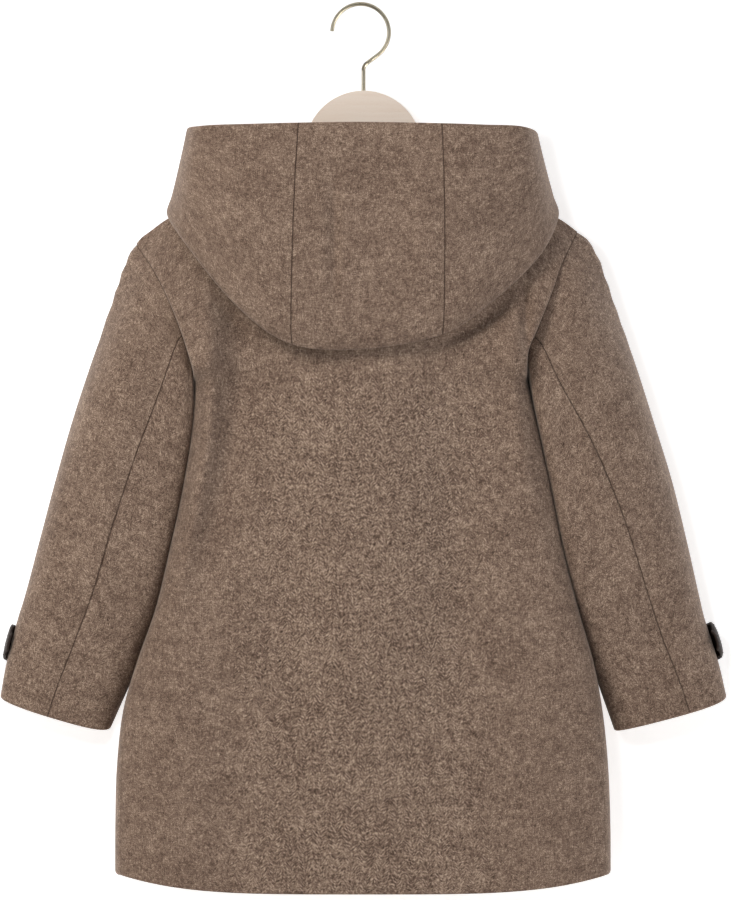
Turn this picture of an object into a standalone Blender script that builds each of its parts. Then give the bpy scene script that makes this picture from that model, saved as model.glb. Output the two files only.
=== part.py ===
"""Child's hooded wool coat hanging on a wooden hanger, one object for each cut piece."""
import math
from collections import namedtuple

import bmesh
import bpy
import numpy as np
from mathutils import Vector
from mathutils.bvhtree import BVHTree

# Metres, +Z up. +Y is the coat's back and +X the wearer's left. The origin is the inside
# top of the hook, and a drop is a distance below it.
CLOTH = 0.0025
SEAM_GAP = 0.0004
UP = np.array((0.0, 0.0, 1.0))

# Body below the armpit: outline to each side, and how far back and front stand out.
BodyRow = namedtuple("BodyRow", "drop left right back front")
BODY = [
    BodyRow(0.319, 0.1445, 0.1390, 0.052, 0.052),
    BodyRow(0.360, 0.1480, 0.1475, 0.054, 0.053),
    BodyRow(0.410, 0.1550, 0.1585, 0.054, 0.054),
    BodyRow(0.460, 0.1636, 0.1695, 0.053, 0.054),
    BodyRow(0.510, 0.1770, 0.1825, 0.052, 0.053),
    BodyRow(0.560, 0.1932, 0.1958, 0.051, 0.052),
    BodyRow(0.600, 0.2040, 0.2030, 0.050, 0.051),
    BodyRow(0.650, 0.2096, 0.2080, 0.049, 0.050),
    BodyRow(0.700, 0.2110, 0.2099, 0.048, 0.049),
    BodyRow(0.745, 0.2112, 0.2102, 0.047, 0.048),
]
BODY_SQUARENESS = 2.7
BLADE_BULGE = 0.006
ARMHOLE_PULL = 1.4
FOLDS_FULL_DEPTH = 0.045
ARMPIT = BODY[0].drop
HEM = 0.745
HEM_CENTRE = 0.7552
HEM_RISE = 0.0186
HEM_HALF = 0.210
SIDE_SEAM_TURN = 17.0
SIDE_SEAM_TURNS = 0.440
SIDE_SEAM_SETTLES = 0.600

# Shoulder seam, from the neck out, and the neck hole.
ShoulderRow = namedtuple("ShoulderRow", "out drop")
SHOULDER = [
    ShoulderRow(0.0660, 0.1400),
    ShoulderRow(0.1200, 0.1600),
    ShoulderRow(0.1680, 0.1817),
    ShoulderRow(0.1820, 0.1930),
    ShoulderRow(0.1895, 0.1987),
    ShoulderRow(0.1935, 0.2035),
]
SHOULDER_TIP = {1: 0.1935, -1: 0.1820}
NECK_HALF = 0.066
NECK_BACK = 0.038
NECK_FRONT = 0.050
NECK_DROP = 0.140
NECK_BACK_FALL = 0.010
NECK_FRONT_FALL = 0.055

# Armhole seam from the shoulder (turn 0) to the armpit (turn 1).
ArmholeRow = namedtuple("ArmholeRow", "turn left left_drop right right_drop depth")
ARMHOLE = [
    ArmholeRow(0.00, 0.1935, 0.2035, 0.1820, 0.1930, 0.000),
    ArmholeRow(0.20, 0.1786, 0.2240, 0.1695, 0.2167, 0.027),
    ArmholeRow(0.40, 0.1672, 0.2467, 0.1608, 0.2420, 0.038),
    ArmholeRow(0.67, 0.1545, 0.2786, 0.1468, 0.2755, 0.040),
    ArmholeRow(0.83, 0.1483, 0.2982, 0.1408, 0.2965, 0.033),
    ArmholeRow(0.93, 0.1449, 0.3110, 0.1392, 0.3095, 0.020),
    ArmholeRow(1.00, 0.1445, 0.3190, 0.1390, 0.3190, 0.000),
]

# Sleeves: the outer edge in the back view, the way down the sleeve and its two seams.
OuterRow = namedtuple("OuterRow", "drop left right")
SLEEVE_OUTER = [
    OuterRow(0.1930, 0.1860, 0.1820),
    OuterRow(0.1953, 0.1880, 0.1868),
    OuterRow(0.2035, 0.1935, 0.1942),
    OuterRow(0.2240, 0.2048, 0.2033),
    OuterRow(0.2500, 0.2130, 0.2122),
    OuterRow(0.3007, 0.2305, 0.2298),
    OuterRow(0.3517, 0.2473, 0.2460),
    OuterRow(0.4027, 0.2614, 0.2614),
    OuterRow(0.4537, 0.2750, 0.2740),
    OuterRow(0.5047, 0.2886, 0.2852),
    OuterRow(0.5860, 0.3078, 0.3085),
]
CuffSize = namedtuple("CuffSize", "outer_drop inner_drop inner_out")
CUFF = {1: CuffSize(0.5846, 0.6140, 0.2149), -1: CuffSize(0.5860, 0.6156, 0.2133)}
SLEEVE_LEAVES_BODY = 0.560
SLEEVE_CLEAR = 0.0013
ARMPIT_OPENS = 120
SleeveRow = namedtuple("SleeveRow", "share depth hind_left hind_right")
SLEEVE = [
    SleeveRow(0.00, 0.040, 120, 120),
    SleeveRow(0.12, 0.040, 110, 108),
    SleeveRow(0.25, 0.038, 101, 98),
    SleeveRow(0.50, 0.034, 94, 90),
    SleeveRow(0.75, 0.029, 90, 82),
    SleeveRow(1.00, 0.023, 86, 75),
]
SLEEVE_SQUARENESS = 2.4
SLEEVE_FRONT_SEAM = -140
SLEEVE_FORWARD = 0.020
SLEEVE_TUCK = 0.0024
SLEEVE_SWINGS_BY = 0.35
CUFF_DIP = 0.006
SLEEVE_HEAD_FADE = 0.30
SLEEVE_ROW_GROWTH = 1.25

# Hood, lying down the back: its folded lower outline and its face edge, by the share of
# the way round the neck from centre back (0) over the shoulder (0.5) to the front.
HoodRow = namedtuple("HoodRow", "share fold fold_drop edge edge_drop")
HOOD_SIDES = {
    1: [
        HoodRow(0.00, 0.0000, 0.2915, 0.0000, 0.0979),
        HoodRow(0.12, 0.0616, 0.2876, 0.0553, 0.0989),
        HoodRow(0.25, 0.1050, 0.2570, 0.1000, 0.1008),
        HoodRow(0.38, 0.1470, 0.2040, 0.1385, 0.1025),
        HoodRow(0.50, 0.1610, 0.1745, 0.1490, 0.1065),
        HoodRow(0.64, 0.1440, 0.1930, 0.1330, 0.1220),
        HoodRow(0.79, 0.0950, 0.2060, 0.0880, 0.1550),
        HoodRow(0.93, 0.0240, 0.2040, 0.0260, 0.1880),
    ],
    -1: [
        HoodRow(0.00, 0.0000, 0.2915, 0.0000, 0.0979),
        HoodRow(0.12, 0.0679, 0.2795, 0.0667, 0.0998),
        HoodRow(0.25, 0.1120, 0.2540, 0.1040, 0.1014),
        HoodRow(0.38, 0.1500, 0.2090, 0.1360, 0.1022),
        HoodRow(0.50, 0.1620, 0.1750, 0.1465, 0.1085),
        HoodRow(0.64, 0.1440, 0.1930, 0.1310, 0.1230),
        HoodRow(0.79, 0.0950, 0.2060, 0.0880, 0.1550),
        HoodRow(0.93, 0.0240, 0.2040, 0.0260, 0.1880),
    ],
}
HoodShape = namedtuple("HoodShape", "share fold_y edge_y roll belly")
HOOD_SHAPE = [
    HoodShape(0.00, 0.066, 0.072, 0.010, 0.012),
    HoodShape(0.12, 0.065, 0.071, 0.010, 0.012),
    HoodShape(0.25, 0.056, 0.064, 0.010, 0.011),
    HoodShape(0.38, 0.034, 0.046, 0.009, 0.004),
    HoodShape(0.50, 0.004, 0.010, 0.006, -0.001),
    HoodShape(0.64, -0.030, -0.024, 0.006, 0.004),
    HoodShape(0.79, -0.054, -0.050, 0.005, 0.003),
    HoodShape(0.93, -0.061, -0.060, 0.003, 0.001),
]
HOOD_SEAM_SHARE = 0.12
HOOD_END_SHARE = 0.93
HOOD_STAND = 0.007
HOOD_STAND_TURN = 0.0065
HOOD_UNDER_SHARES = (0.33, 0.67, 1.0)
HOOD_WALL_SHARES = (0.0, 0.22, 0.48, 0.76, 1.0)
HOOD_CLEAR = 0.0018
NECK_SEAM_LIFT = 0.0009
NECK_SEAM_LIFT_FRONT = 0.0022

# Soft folds: down the cloth from one place to another, width and height out of the cloth.
Fold = namedtuple("Fold", "x drop to_x to_drop width height")
BACK_FOLDS = [
    Fold(0.113, 0.235, 0.128, 0.455, 0.020, -0.0050),
    Fold(-0.020, 0.300, -0.012, 0.620, 0.040, 0.0040),
    Fold(-0.076, 0.300, -0.085, 0.560, 0.028, -0.0040),
    Fold(0.080, 0.380, 0.070, 0.640, 0.030, -0.0025),
    Fold(-0.128, 0.270, -0.134, 0.440, 0.016, 0.0025),
    Fold(0.150, 0.560, 0.170, 0.750, 0.030, 0.0040),
    Fold(-0.150, 0.570, -0.165, 0.750, 0.032, 0.0035),
]
FRONT_FOLDS = [
    Fold(0.110, 0.240, 0.125, 0.470, 0.022, -0.0045),
    Fold(-0.108, 0.245, -0.120, 0.430, 0.024, -0.0050),
    Fold(0.085, 0.480, 0.095, 0.750, 0.035, 0.0040),
    Fold(-0.090, 0.450, -0.110, 0.750, 0.032, 0.0045),
]

# Centre front overlap, left over right.
OVERLAP = 0.020
FRONT_COLUMNS = (0.036, 0.008, -OVERLAP)
OVERLAP_FADE = 0.022
OVERLAP_GAP = 0.0012

# Leather cuff tabs and the plain buttons.
TAB_SHARE = 0.858
TAB_HALF_SHARE = 0.044
TAB_FROM = -78
TAB_TO = 16
TAB_STEPS = 14
TAB_ROWS = 6
TAB_END_SHARE = 0.55
TAB_END_SQUARENESS = 6
TAB_THICK = 0.0022
TAB_GAP = 0.0006
TAB_LEAVES_SLEEVE = -36
TAB_STANDS_OFF = {1: 0.0026, -1: 0.0038}
TAB_BUTTON_TURN = -51
TAB_BUTTON_RADIUS = 0.0075
TAB_BUTTON_THICK = 0.0032
FRONT_BUTTON_DROPS = (0.240, 0.345, 0.450, 0.555)
FRONT_BUTTON_RADIUS = 0.0110
FRONT_BUTTON_THICK = 0.0042
BUTTON_GAP = 0.0005
BUTTON_SIDES = 24
BUTTON_RIM = 0.3

# Hanger: a board with a round hump, and the wire hook.
BOARD_THICK = 0.012
BOARD_EDGE = 0.003
HUMP_RADIUS = 0.050
HUMP_TOP = 0.0717
HUMP_TURN = 70
HUMP_FOOT = (0.050, 0.158)
ARM_TOP_BELOW_SEAM = 0.0118
ARM_FROM = 0.084
ARM_TIP = 0.158
ARM_HEIGHT = 0.022
BOARD_FOOT = 0.168
WIRE_RADIUS = 0.00175
HOOK_RADIUS = 0.02415
HOOK_CENTRE_X = 0.0025
HOOK_OPEN_TURN = 2
HOOK_END_TURN = 228
HOOK_BEND_DROP = 0.0505
HOOK_BEND_REACH = 0.007
STEM_DEPTH = 0.016
BORE_GAP = 0.0003

# How finely the pieces are divided.
SHOULDER_STEPS = 5
NECK_STEPS = 6
FRONT_NECK_STEPS = 4
ARMHOLE_STEPS = 9
BODY_STEPS = 11
SLEEVE_STEPS = 14
TOP_SLEEVE_STEPS = 13
UNDER_SLEEVE_STEPS = 10
HOOD_CENTRE_STEPS = 6
HOOD_SIDE_STEPS = 12

WOOL = (0.253, 0.182, 0.137)
LEATHER = (0.020, 0.013, 0.010)
HORN = (0.035, 0.022, 0.016)
BEECH = (0.730, 0.594, 0.502)
BRASS = (0.640, 0.533, 0.343)


def clear_scene():
    for thing in list(bpy.data.objects):
        bpy.data.objects.remove(thing, do_unlink=True)


def smooth(places, values, at):
    # a soft curve through the values given at rising places
    places = np.asarray(places, float)
    values = np.asarray(values, float)
    spans = np.diff(places)
    slopes = np.diff(values) / spans
    tangents = np.concatenate((slopes[:1], (slopes[:-1] + slopes[1:]) / 2, slopes[-1:]))
    at = min(max(at, places[0]), places[-1])
    i = min(max(int(np.searchsorted(places, at)) - 1, 0), len(spans) - 1)
    t = (at - places[i]) / spans[i]
    start = values[i] * (1 + 2 * t) * (1 - t) ** 2 + tangents[i] * spans[i] * t * (1 - t) ** 2
    end = values[i + 1] * t * t * (3 - 2 * t) - tangents[i + 1] * spans[i] * t * t * (1 - t)
    return start + end


def column(table, name, at):
    return smooth([row[0] for row in table], [getattr(row, name) for row in table], at)


def side_column(table, side, at):
    return column(table, "left" if side > 0 else "right", at)


def blend(a, b, t):
    return a * (1 - t) + b * t


def ease(t):
    t = min(max(t, 0.0), 1.0)
    return t * t * (3 - 2 * t)


def rounded(turn, squareness):
    # cosine and sine of a rounded rectangle's turn, in degrees
    c = math.cos(math.radians(turn))
    s = math.sin(math.radians(turn))
    power = 2 / squareness
    return math.copysign(abs(c) ** power, c), math.copysign(abs(s) ** power, s)


def unit(vector):
    return vector / np.linalg.norm(vector)


def fold_height(folds, x, drop):
    total = 0.0
    for fold in folds:
        t = (drop - fold.drop) / (fold.to_drop - fold.drop)
        middle = blend(fold.x, fold.to_x, t)
        fade = ease(t / 0.2 + 0.5) * ease((1 - t) / 0.3 + 0.5)
        total += fold.height * fade * math.exp(-(((x - middle) / fold.width) ** 2))
    return total


def body_point(turn, drop):
    # turn 0 is the left side, 90 centre back, 180 the right side and -90 centre front
    left = column(BODY, "left", drop)
    right = column(BODY, "right", drop)
    c, s = rounded(turn, BODY_SQUARENESS)
    depth = column(BODY, "back" if s >= 0 else "front", drop)
    x = (left - right) / 2 + (left + right) / 2 * c
    return np.array((x, depth * s, -drop))


def side_seam_turn(drop):
    return SIDE_SEAM_TURN * ease((drop - SIDE_SEAM_TURNS) / (SIDE_SEAM_SETTLES - SIDE_SEAM_TURNS))


def hem_drop(x):
    return HEM_CENTRE - HEM_RISE * min(abs(x) / HEM_HALF, 1.0) ** 3


def neck_point(side, share):
    angle = math.pi * share
    away = math.cos(angle)
    reach = NECK_BACK if away > 0 else NECK_FRONT
    fall = NECK_BACK_FALL * away ** 2 if away > 0 else NECK_FRONT_FALL * abs(away) ** 1.6
    return np.array((side * NECK_HALF * math.sin(angle), reach * away, -NECK_DROP - fall))


def shoulder_point(side, share):
    # share 0 is the tip at the sleeve, 1 the neck
    out = blend(SHOULDER_TIP[side], NECK_HALF, share)
    return np.array((side * out, 0.0, -column(SHOULDER, "drop", out)))


def armhole_point(side, turn, face):
    x = side_column(ARMHOLE, side, turn)
    drop = column(ARMHOLE, "left_drop" if side > 0 else "right_drop", turn)
    return np.array((side * x, face * column(ARMHOLE, "depth", turn), -drop))


def front_columns():
    # the neck's last places, by their distance from the centre
    shares = []
    for x in FRONT_COLUMNS:
        shares.append(1 - math.asin(x / NECK_HALF) / math.pi)
    return shares


def neck_shares(face):
    if face > 0:
        return [blend(0.5, 0.0, i / NECK_STEPS) for i in range(NECK_STEPS + 1)]
    last = front_columns()
    steps = FRONT_NECK_STEPS
    return [blend(0.5, last[0], i / steps) for i in range(steps)] + last


def top_row(side, face):
    # from the shoulder tip along the shoulder seam and on along the neck
    row = [shoulder_point(side, (i / SHOULDER_STEPS) ** 1.5) for i in range(SHOULDER_STEPS)]
    return row + [neck_point(side, share) for share in neck_shares(face)]


def front_turn(side, x, drop):
    # where the front reaches a distance past the centre
    left = column(BODY, "left", drop)
    right = column(BODY, "right", drop)
    c = (x - side * (left - right) / 2) / ((left + right) / 2)
    c = math.copysign(abs(c) ** (BODY_SQUARENESS / 2), c)
    return -math.degrees(math.acos(c))


def ring_row(side, face, drop, steps):
    # from the side seam towards the centre, on the back (face 1) or the front (face -1)
    start = side_seam_turn(drop)
    if face > 0:
        turns = [blend(start, 90, i / steps) for i in range(steps + 1)]
    else:
        last = [front_turn(side, x, drop) for x in FRONT_COLUMNS]
        steps -= len(last) - 1
        turns = [blend(start, last[0], i / steps) for i in range(steps)] + last
    if side < 0:
        turns = [180 - turn for turn in turns]
    return [body_point(turn, drop) for turn in turns]


def upper_half(side, face, top, bottom):
    # shoulder, armhole and armpit row joined by a soft patch
    rows = []
    steps = len(top) - 1
    reach = steps if face > 0 else steps - len(FRONT_COLUMNS) + 1
    for j in range(ARMHOLE_STEPS):
        v = j / ARMHOLE_STEPS
        edge = armhole_point(side, v, face)
        slip = edge - blend(top[0], bottom[0], v)
        row = []
        for i in range(steps + 1):
            weight = max(1 - i / reach, 0) ** ARMHOLE_PULL
            point = blend(top[i], bottom[i], v) + slip * weight
            point[1] += face * BLADE_BULGE * math.sin(math.pi * v) * (1 - weight)
            row.append(point)
        rows.append(row)
    return rows


def lower_half(side, face, steps):
    rows = []
    for j in range(BODY_STEPS + 1):
        share = j / BODY_STEPS
        row = ring_row(side, face, blend(ARMPIT, HEM, share), steps)
        for point in row:
            point[2] = -blend(ARMPIT, hem_drop(point[0]), share)
        rows.append(row)
    return rows


def half_body(side, face):
    top = top_row(side, face)
    lower = lower_half(side, face, len(top) - 1)
    grid = np.array(upper_half(side, face, top, lower[0]) + lower)
    folds = BACK_FOLDS if face > 0 else FRONT_FOLDS
    for row in grid:
        for point in row[1:]:
            flatness = min(1.0, abs(point[1]) / FOLDS_FULL_DEPTH) ** 2
            point[1] += face * flatness * fold_height(folds, point[0], -point[2])
    return grid


def back_grid():
    left = half_body(1, 1)
    right = half_body(-1, 1)
    middle = (left[:, -1:] + right[:, -1:]) / 2
    return np.concatenate((left[:, :-1], middle, right[:, -2::-1]), axis=1)


def front_grid(side):
    # the left front lies over the right one
    grid = half_body(side, -1)
    if side > 0:
        for row in grid:
            for point in row:
                lap = 1 - ease((point[0] - FRONT_COLUMNS[0]) / OVERLAP_FADE)
                point[1] -= lap * (CLOTH + OVERLAP_GAP)
    return grid


def sleeve_edges(side, share):
    cuff = CUFF[side]
    start = -armhole_point(side, 0, 1)[2]
    outer_drop = blend(start, cuff.outer_drop, share ** 0.87)
    inner_drop = blend(ARMPIT, cuff.inner_drop, share ** 1.1)
    outer = side_column(SLEEVE_OUTER, side, outer_drop)
    inner = side_column(BODY, side, min(inner_drop, SLEEVE_LEAVES_BODY)) + SLEEVE_CLEAR
    inner -= SLEEVE_TUCK * ease(share / SLEEVE_SWINGS_BY)
    if inner_drop > SLEEVE_LEAVES_BODY:
        past = (inner_drop - SLEEVE_LEAVES_BODY) / (cuff.inner_drop - SLEEVE_LEAVES_BODY)
        inner = blend(inner, cuff.inner_out, past)
    return np.array((side * outer, 0, -outer_drop)), np.array((side * inner, 0, -inner_drop))


def sleeve_ring_point(side, share, turn):
    outer, inner = sleeve_edges(side, share)
    c, s = rounded(turn, SLEEVE_SQUARENESS)
    point = (outer + inner) / 2 + (outer - inner) / 2 * c
    forward = SLEEVE_FORWARD * ease(share / SLEEVE_SWINGS_BY)
    point[1] = column(SLEEVE, "depth", share) * s - forward
    point[2] -= CUFF_DIP * abs(s) * share ** 6
    return point


def sleeve_point(side, share, turn):
    # turn 0 is the outer edge, 180 the inner edge, and 0 to 180 runs over the back
    face = 1 if turn >= 0 else -1
    armhole = armhole_point(side, abs(turn) / 180, face)
    armhole[0] += side * SLEEVE_CLEAR * ease((abs(turn) - ARMPIT_OPENS) / (180 - ARMPIT_OPENS))
    slip = armhole - sleeve_ring_point(side, 0, turn)
    fade = 1 - ease(share / SLEEVE_HEAD_FADE)
    return sleeve_ring_point(side, share, turn) + slip * fade


def sleeve_grids(side):
    top = []
    under = []
    for j in range(SLEEVE_STEPS + 1):
        share = (j / SLEEVE_STEPS) ** SLEEVE_ROW_GROWTH
        hind = column(SLEEVE, "hind_left" if side > 0 else "hind_right", share)
        around = SLEEVE_FRONT_SEAM + 360
        turns = [blend(SLEEVE_FRONT_SEAM, hind, i / TOP_SLEEVE_STEPS)
                 for i in range(TOP_SLEEVE_STEPS + 1)]
        top.append([sleeve_point(side, share, turn) for turn in turns])
        turns = [blend(hind, around, i / UNDER_SLEEVE_STEPS)
                 for i in range(UNDER_SLEEVE_STEPS + 1)]
        turns = [turn - 360 if turn > 180 else turn for turn in turns]
        under.append([sleeve_point(side, share, turn) for turn in turns])
    return np.array(top), np.array(under)


def hood_value(table_for, name, share):
    # share runs from the right front (negative) over centre back to the left front
    places = []
    values = []
    for side in (-1, 1):
        rows = table_for(side)
        for row in (rows[:0:-1] if side < 0 else rows):
            places.append(side * row.share)
            sign = side if name in ("fold", "edge") else 1
            values.append(sign * getattr(row, name))
    return smooth(places, values, share)


def hood_side_value(name, share):
    return hood_value(lambda side: HOOD_SIDES[side], name, share)


def hood_shape_value(name, share):
    return hood_value(lambda side: HOOD_SHAPE, name, share)


def hood_profile(share, lift):
    # neck seam, stand, down the back, the fold, and up to the face edge
    side = 1 if share >= 0 else -1
    seam_lift = blend(NECK_SEAM_LIFT, NECK_SEAM_LIFT_FRONT, ease((abs(share) - 0.6) / 0.3))
    neck = neck_point(side, abs(share)) + UP * seam_lift
    roll = hood_shape_value("roll", share)
    fold = np.array((hood_side_value("fold", share), hood_shape_value("fold_y", share),
                     -hood_side_value("fold_drop", share)))
    edge = np.array((hood_side_value("edge", share), hood_shape_value("edge_y", share),
                     -hood_side_value("edge_drop", share)))
    out = unit(np.array((fold[0], fold[1], 0.0)))
    stand = neck + UP * HOOD_STAND
    over = neck + UP * HOOD_STAND * 0.8 + out * HOOD_STAND_TURN
    fold_in = fold - out * roll * 0.9 + UP * roll * 1.1
    fold_out = fold + out * roll + UP * roll * 1.1
    under = [lift(blend(over, fold_in, t)) for t in HOOD_UNDER_SHARES]
    belly = hood_shape_value("belly", share)
    wall = [blend(fold_out, edge, t) + out * belly * math.sin(math.pi * t) ** 0.8
            for t in HOOD_WALL_SHARES]
    return [neck, stand, lift(over)] + under + [lift(fold)] + wall


def hood_grids(lift):
    def strip(start, end, steps):
        profiles = [hood_profile(blend(start, end, i / steps), lift) for i in range(steps + 1)]
        return np.array(profiles).transpose(1, 0, 2)

    return {
        "hood_left": strip(HOOD_END_SHARE, HOOD_SEAM_SHARE, HOOD_SIDE_STEPS),
        "hood_centre": strip(HOOD_SEAM_SHARE, -HOOD_SEAM_SHARE, HOOD_CENTRE_STEPS),
        "hood_right": strip(-HOOD_SEAM_SHARE, -HOOD_END_SHARE, HOOD_SIDE_STEPS),
    }


def key(point):
    return tuple(np.round(point, 6))


def quad_normals(grid, outside):
    one = grid[1:, 1:] - grid[:-1, :-1]
    two = grid[1:, :-1] - grid[:-1, 1:]
    normals = np.cross(one, two)
    middle = normals[normals.shape[0] // 2, normals.shape[1] // 2]
    return normals if np.dot(middle, outside) > 0 else -normals


def joined_normals(grids, outsides):
    # normals of the sewn garment, so that pieces meet squarely at their seams
    sums = {}
    for grid, outside in zip(grids, outsides):
        normals = quad_normals(grid, outside)
        for j in range(normals.shape[0]):
            for i in range(normals.shape[1]):
                for corner in (grid[j, i], grid[j + 1, i], grid[j, i + 1], grid[j + 1, i + 1]):
                    sums[key(corner)] = sums.get(key(corner), 0) + normals[j, i]
    return [np.array([[unit(sums[key(point)]) for point in row] for row in grid])
            for grid in grids]


def trimmed(grid):
    # half a seam gap comes off every edge
    out = grid.copy()
    for j, inner in ((0, 1), (-1, -2)):
        steps = grid[inner] - grid[j]
        out[j] += steps / np.linalg.norm(steps, axis=1, keepdims=True) * SEAM_GAP / 2
    for i, inner in ((0, 1), (-1, -2)):
        steps = grid[:, inner] - grid[:, i]
        out[:, i] += steps / np.linalg.norm(steps, axis=1, keepdims=True) * SEAM_GAP / 2
    return out


def material(name, colour, roughness, metallic):
    made = bpy.data.materials.new(name)
    made.use_nodes = True
    shader = made.node_tree.nodes["Principled BSDF"]
    shader.inputs["Base Color"].default_value = (*colour, 1.0)
    shader.inputs["Roughness"].default_value = roughness
    shader.inputs["Metallic"].default_value = metallic
    return made


def add_object(name, mesh, colour, roughness=0.9, metallic=0.0):
    mesh.materials.append(material(name, colour, roughness, metallic))
    thing = bpy.data.objects.new(name, mesh)
    bpy.context.collection.objects.link(thing)
    return thing


def panel(name, grid, normals, thickness, colour):
    # a cloth wall: the outer grid, the same grid moved in, and the cut edges
    rows, columns = grid.shape[:2]
    outer = trimmed(grid)
    inner = outer - normals * thickness
    shell = bmesh.new()
    sheets = [[[shell.verts.new(point) for point in row] for row in sheet]
              for sheet in (outer, inner)]
    for sheet in sheets:
        for j in range(rows - 1):
            for i in range(columns - 1):
                shell.faces.new((sheet[j][i], sheet[j][i + 1],
                                 sheet[j + 1][i + 1], sheet[j + 1][i]))
    border = [((0, i), (0, i + 1)) for i in range(columns - 1)]
    border += [((rows - 1, i), (rows - 1, i + 1)) for i in range(columns - 1)]
    border += [((j, 0), (j + 1, 0)) for j in range(rows - 1)]
    border += [((j, columns - 1), (j + 1, columns - 1)) for j in range(rows - 1)]
    for (j, i), (k, m) in border:
        shell.faces.new((sheets[0][j][i], sheets[0][k][m], sheets[1][k][m]))
        shell.faces.new((sheets[0][j][i], sheets[1][k][m], sheets[1][j][i]))
    bmesh.ops.recalc_face_normals(shell, faces=shell.faces)
    mesh = bpy.data.meshes.new(name)
    shell.to_mesh(mesh)
    shell.free()
    mesh.shade_smooth()
    return add_object(name, mesh, colour)


def surface_tree(grids, outsides):
    points = []
    faces = []
    for grid, outside in zip(grids, outsides):
        start = len(points)
        rows, columns = grid.shape[:2]
        points += [Vector(point) for row in grid for point in row]
        middle = quad_normals(grid, outside)[rows // 2 - 1, columns // 2 - 1]
        one = grid[rows // 2, columns // 2] - grid[rows // 2 - 1, columns // 2 - 1]
        two = grid[rows // 2, columns // 2 - 1] - grid[rows // 2 - 1, columns // 2]
        turned = np.dot(np.cross(one, two), middle) > 0
        for j in range(rows - 1):
            for i in range(columns - 1):
                a = start + j * columns + i
                quad = (a, a + columns, a + columns + 1, a + 1)
                faces.append(quad[::-1] if turned else quad)
    return BVHTree.FromPolygons(points, faces)


def lift_off(tree, clearance):
    def lift(point):
        place, normal, _, _ = tree.find_nearest(Vector(point))
        height = (Vector(point) - place).dot(normal)
        if height >= clearance:
            return point
        return np.array(place + normal * clearance)

    return lift


def build_body_and_sleeves():
    pieces = {
        "back_panel": (back_grid(), (0, 1, 0)),
        "front_left": (front_grid(1), (0, -1, 0)),
        "front_right": (front_grid(-1), (0, -1, 0)),
    }
    body = list(pieces.values())
    for side, word in ((1, "left"), (-1, "right")):
        top, under = sleeve_grids(side)
        pieces["sleeve_%s_top" % word] = (top, (side, 0, 0))
        pieces["sleeve_%s_under" % word] = (under, (-side, 0, 0))
    grids = [grid for grid, _ in pieces.values()]
    normals = joined_normals(grids, [outside for _, outside in pieces.values()])
    for name, grid, normal in zip(pieces, grids, normals):
        panel(name, grid, normal, CLOTH, WOOL)
    return surface_tree([grid for grid, _ in body], [outside for _, outside in body])


def hood_outside(grid):
    # away from the neck's middle, low on the hood's outer wall, turned to the grid's middle
    rows, columns = grid.shape[:2]
    one = grid[-1, columns // 2] - grid[-3, columns // 2 - 1]
    two = grid[-1, columns // 2 - 1] - grid[-3, columns // 2]
    outer = np.cross(one, two)
    away = grid[-2, columns // 2] * np.array((1, 1, 0))
    middle = np.cross(grid[rows // 2, columns // 2] - grid[rows // 2 - 1, columns // 2 - 1],
                      grid[rows // 2, columns // 2 - 1] - grid[rows // 2 - 1, columns // 2])
    return middle if np.dot(outer, away) > 0 else -middle


def build_hood(lift):
    grids = hood_grids(lift)
    outsides = [hood_outside(grid) for grid in grids.values()]
    normals = joined_normals(grids.values(), outsides)
    for (name, grid), normal in zip(grids.items(), normals):
        panel(name, grid, normal, CLOTH, WOOL)


def tab_grid(side):
    rows = []
    for j in range(TAB_ROWS + 1):
        across = blend(-1, 1, j / TAB_ROWS)
        row = []
        for i in range(TAB_STEPS + 1):
            along = i / TAB_STEPS
            narrow = (1 - abs(2 * along - 1) ** TAB_END_SQUARENESS) ** 0.5
            half = TAB_HALF_SHARE * max(narrow, TAB_END_SHARE)
            turn = blend(TAB_FROM, TAB_TO, along)
            row.append(sleeve_point(side, TAB_SHARE + across * half, turn))
        rows.append(row)
    return np.array(rows)


def build_tab(side, word):
    grid = tab_grid(side)
    normals = joined_normals([grid], [np.array((side, -1, 0))])[0]
    for i in range(TAB_STEPS + 1):
        turn = blend(TAB_FROM, TAB_TO, i / TAB_STEPS)
        rise = ease((turn - TAB_LEAVES_SLEEVE) / -TAB_LEAVES_SLEEVE)
        off = TAB_GAP + TAB_THICK + TAB_STANDS_OFF[side] * rise
        grid[:, i] += normals[:, i] * off
    panel("cuff_tab_" + word, grid, normals, TAB_THICK, LEATHER)
    i = round((TAB_BUTTON_TURN - TAB_FROM) / (TAB_TO - TAB_FROM) * TAB_STEPS)
    add_button("tab_button_" + word, grid[TAB_ROWS // 2, i], normals[TAB_ROWS // 2, i],
               TAB_BUTTON_RADIUS, TAB_BUTTON_THICK)


def add_button(name, place, normal, radius, thick):
    # a plain disc with a soft rim, turned about its own axis
    disc = bmesh.new()
    bmesh.ops.create_cone(disc, cap_ends=True, segments=BUTTON_SIDES, radius1=radius, radius2=radius,
                          depth=thick)
    mesh = bpy.data.meshes.new(name)
    disc.to_mesh(mesh)
    disc.free()
    mesh.shade_smooth()
    mesh.set_sharp_from_angle(angle=math.radians(35))
    thing = add_object(name, mesh, HORN, roughness=0.35)
    bevel = thing.modifiers.new("rim", "BEVEL")
    bevel.width = thick * BUTTON_RIM
    bevel.segments = 1
    bevel.limit_method = "ANGLE"
    normal = Vector(normal)
    thing.location = Vector(place) + normal * (BUTTON_GAP + thick / 2)
    thing.rotation_mode = "QUATERNION"
    thing.rotation_quaternion = normal.to_track_quat("Z", "Y")


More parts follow.
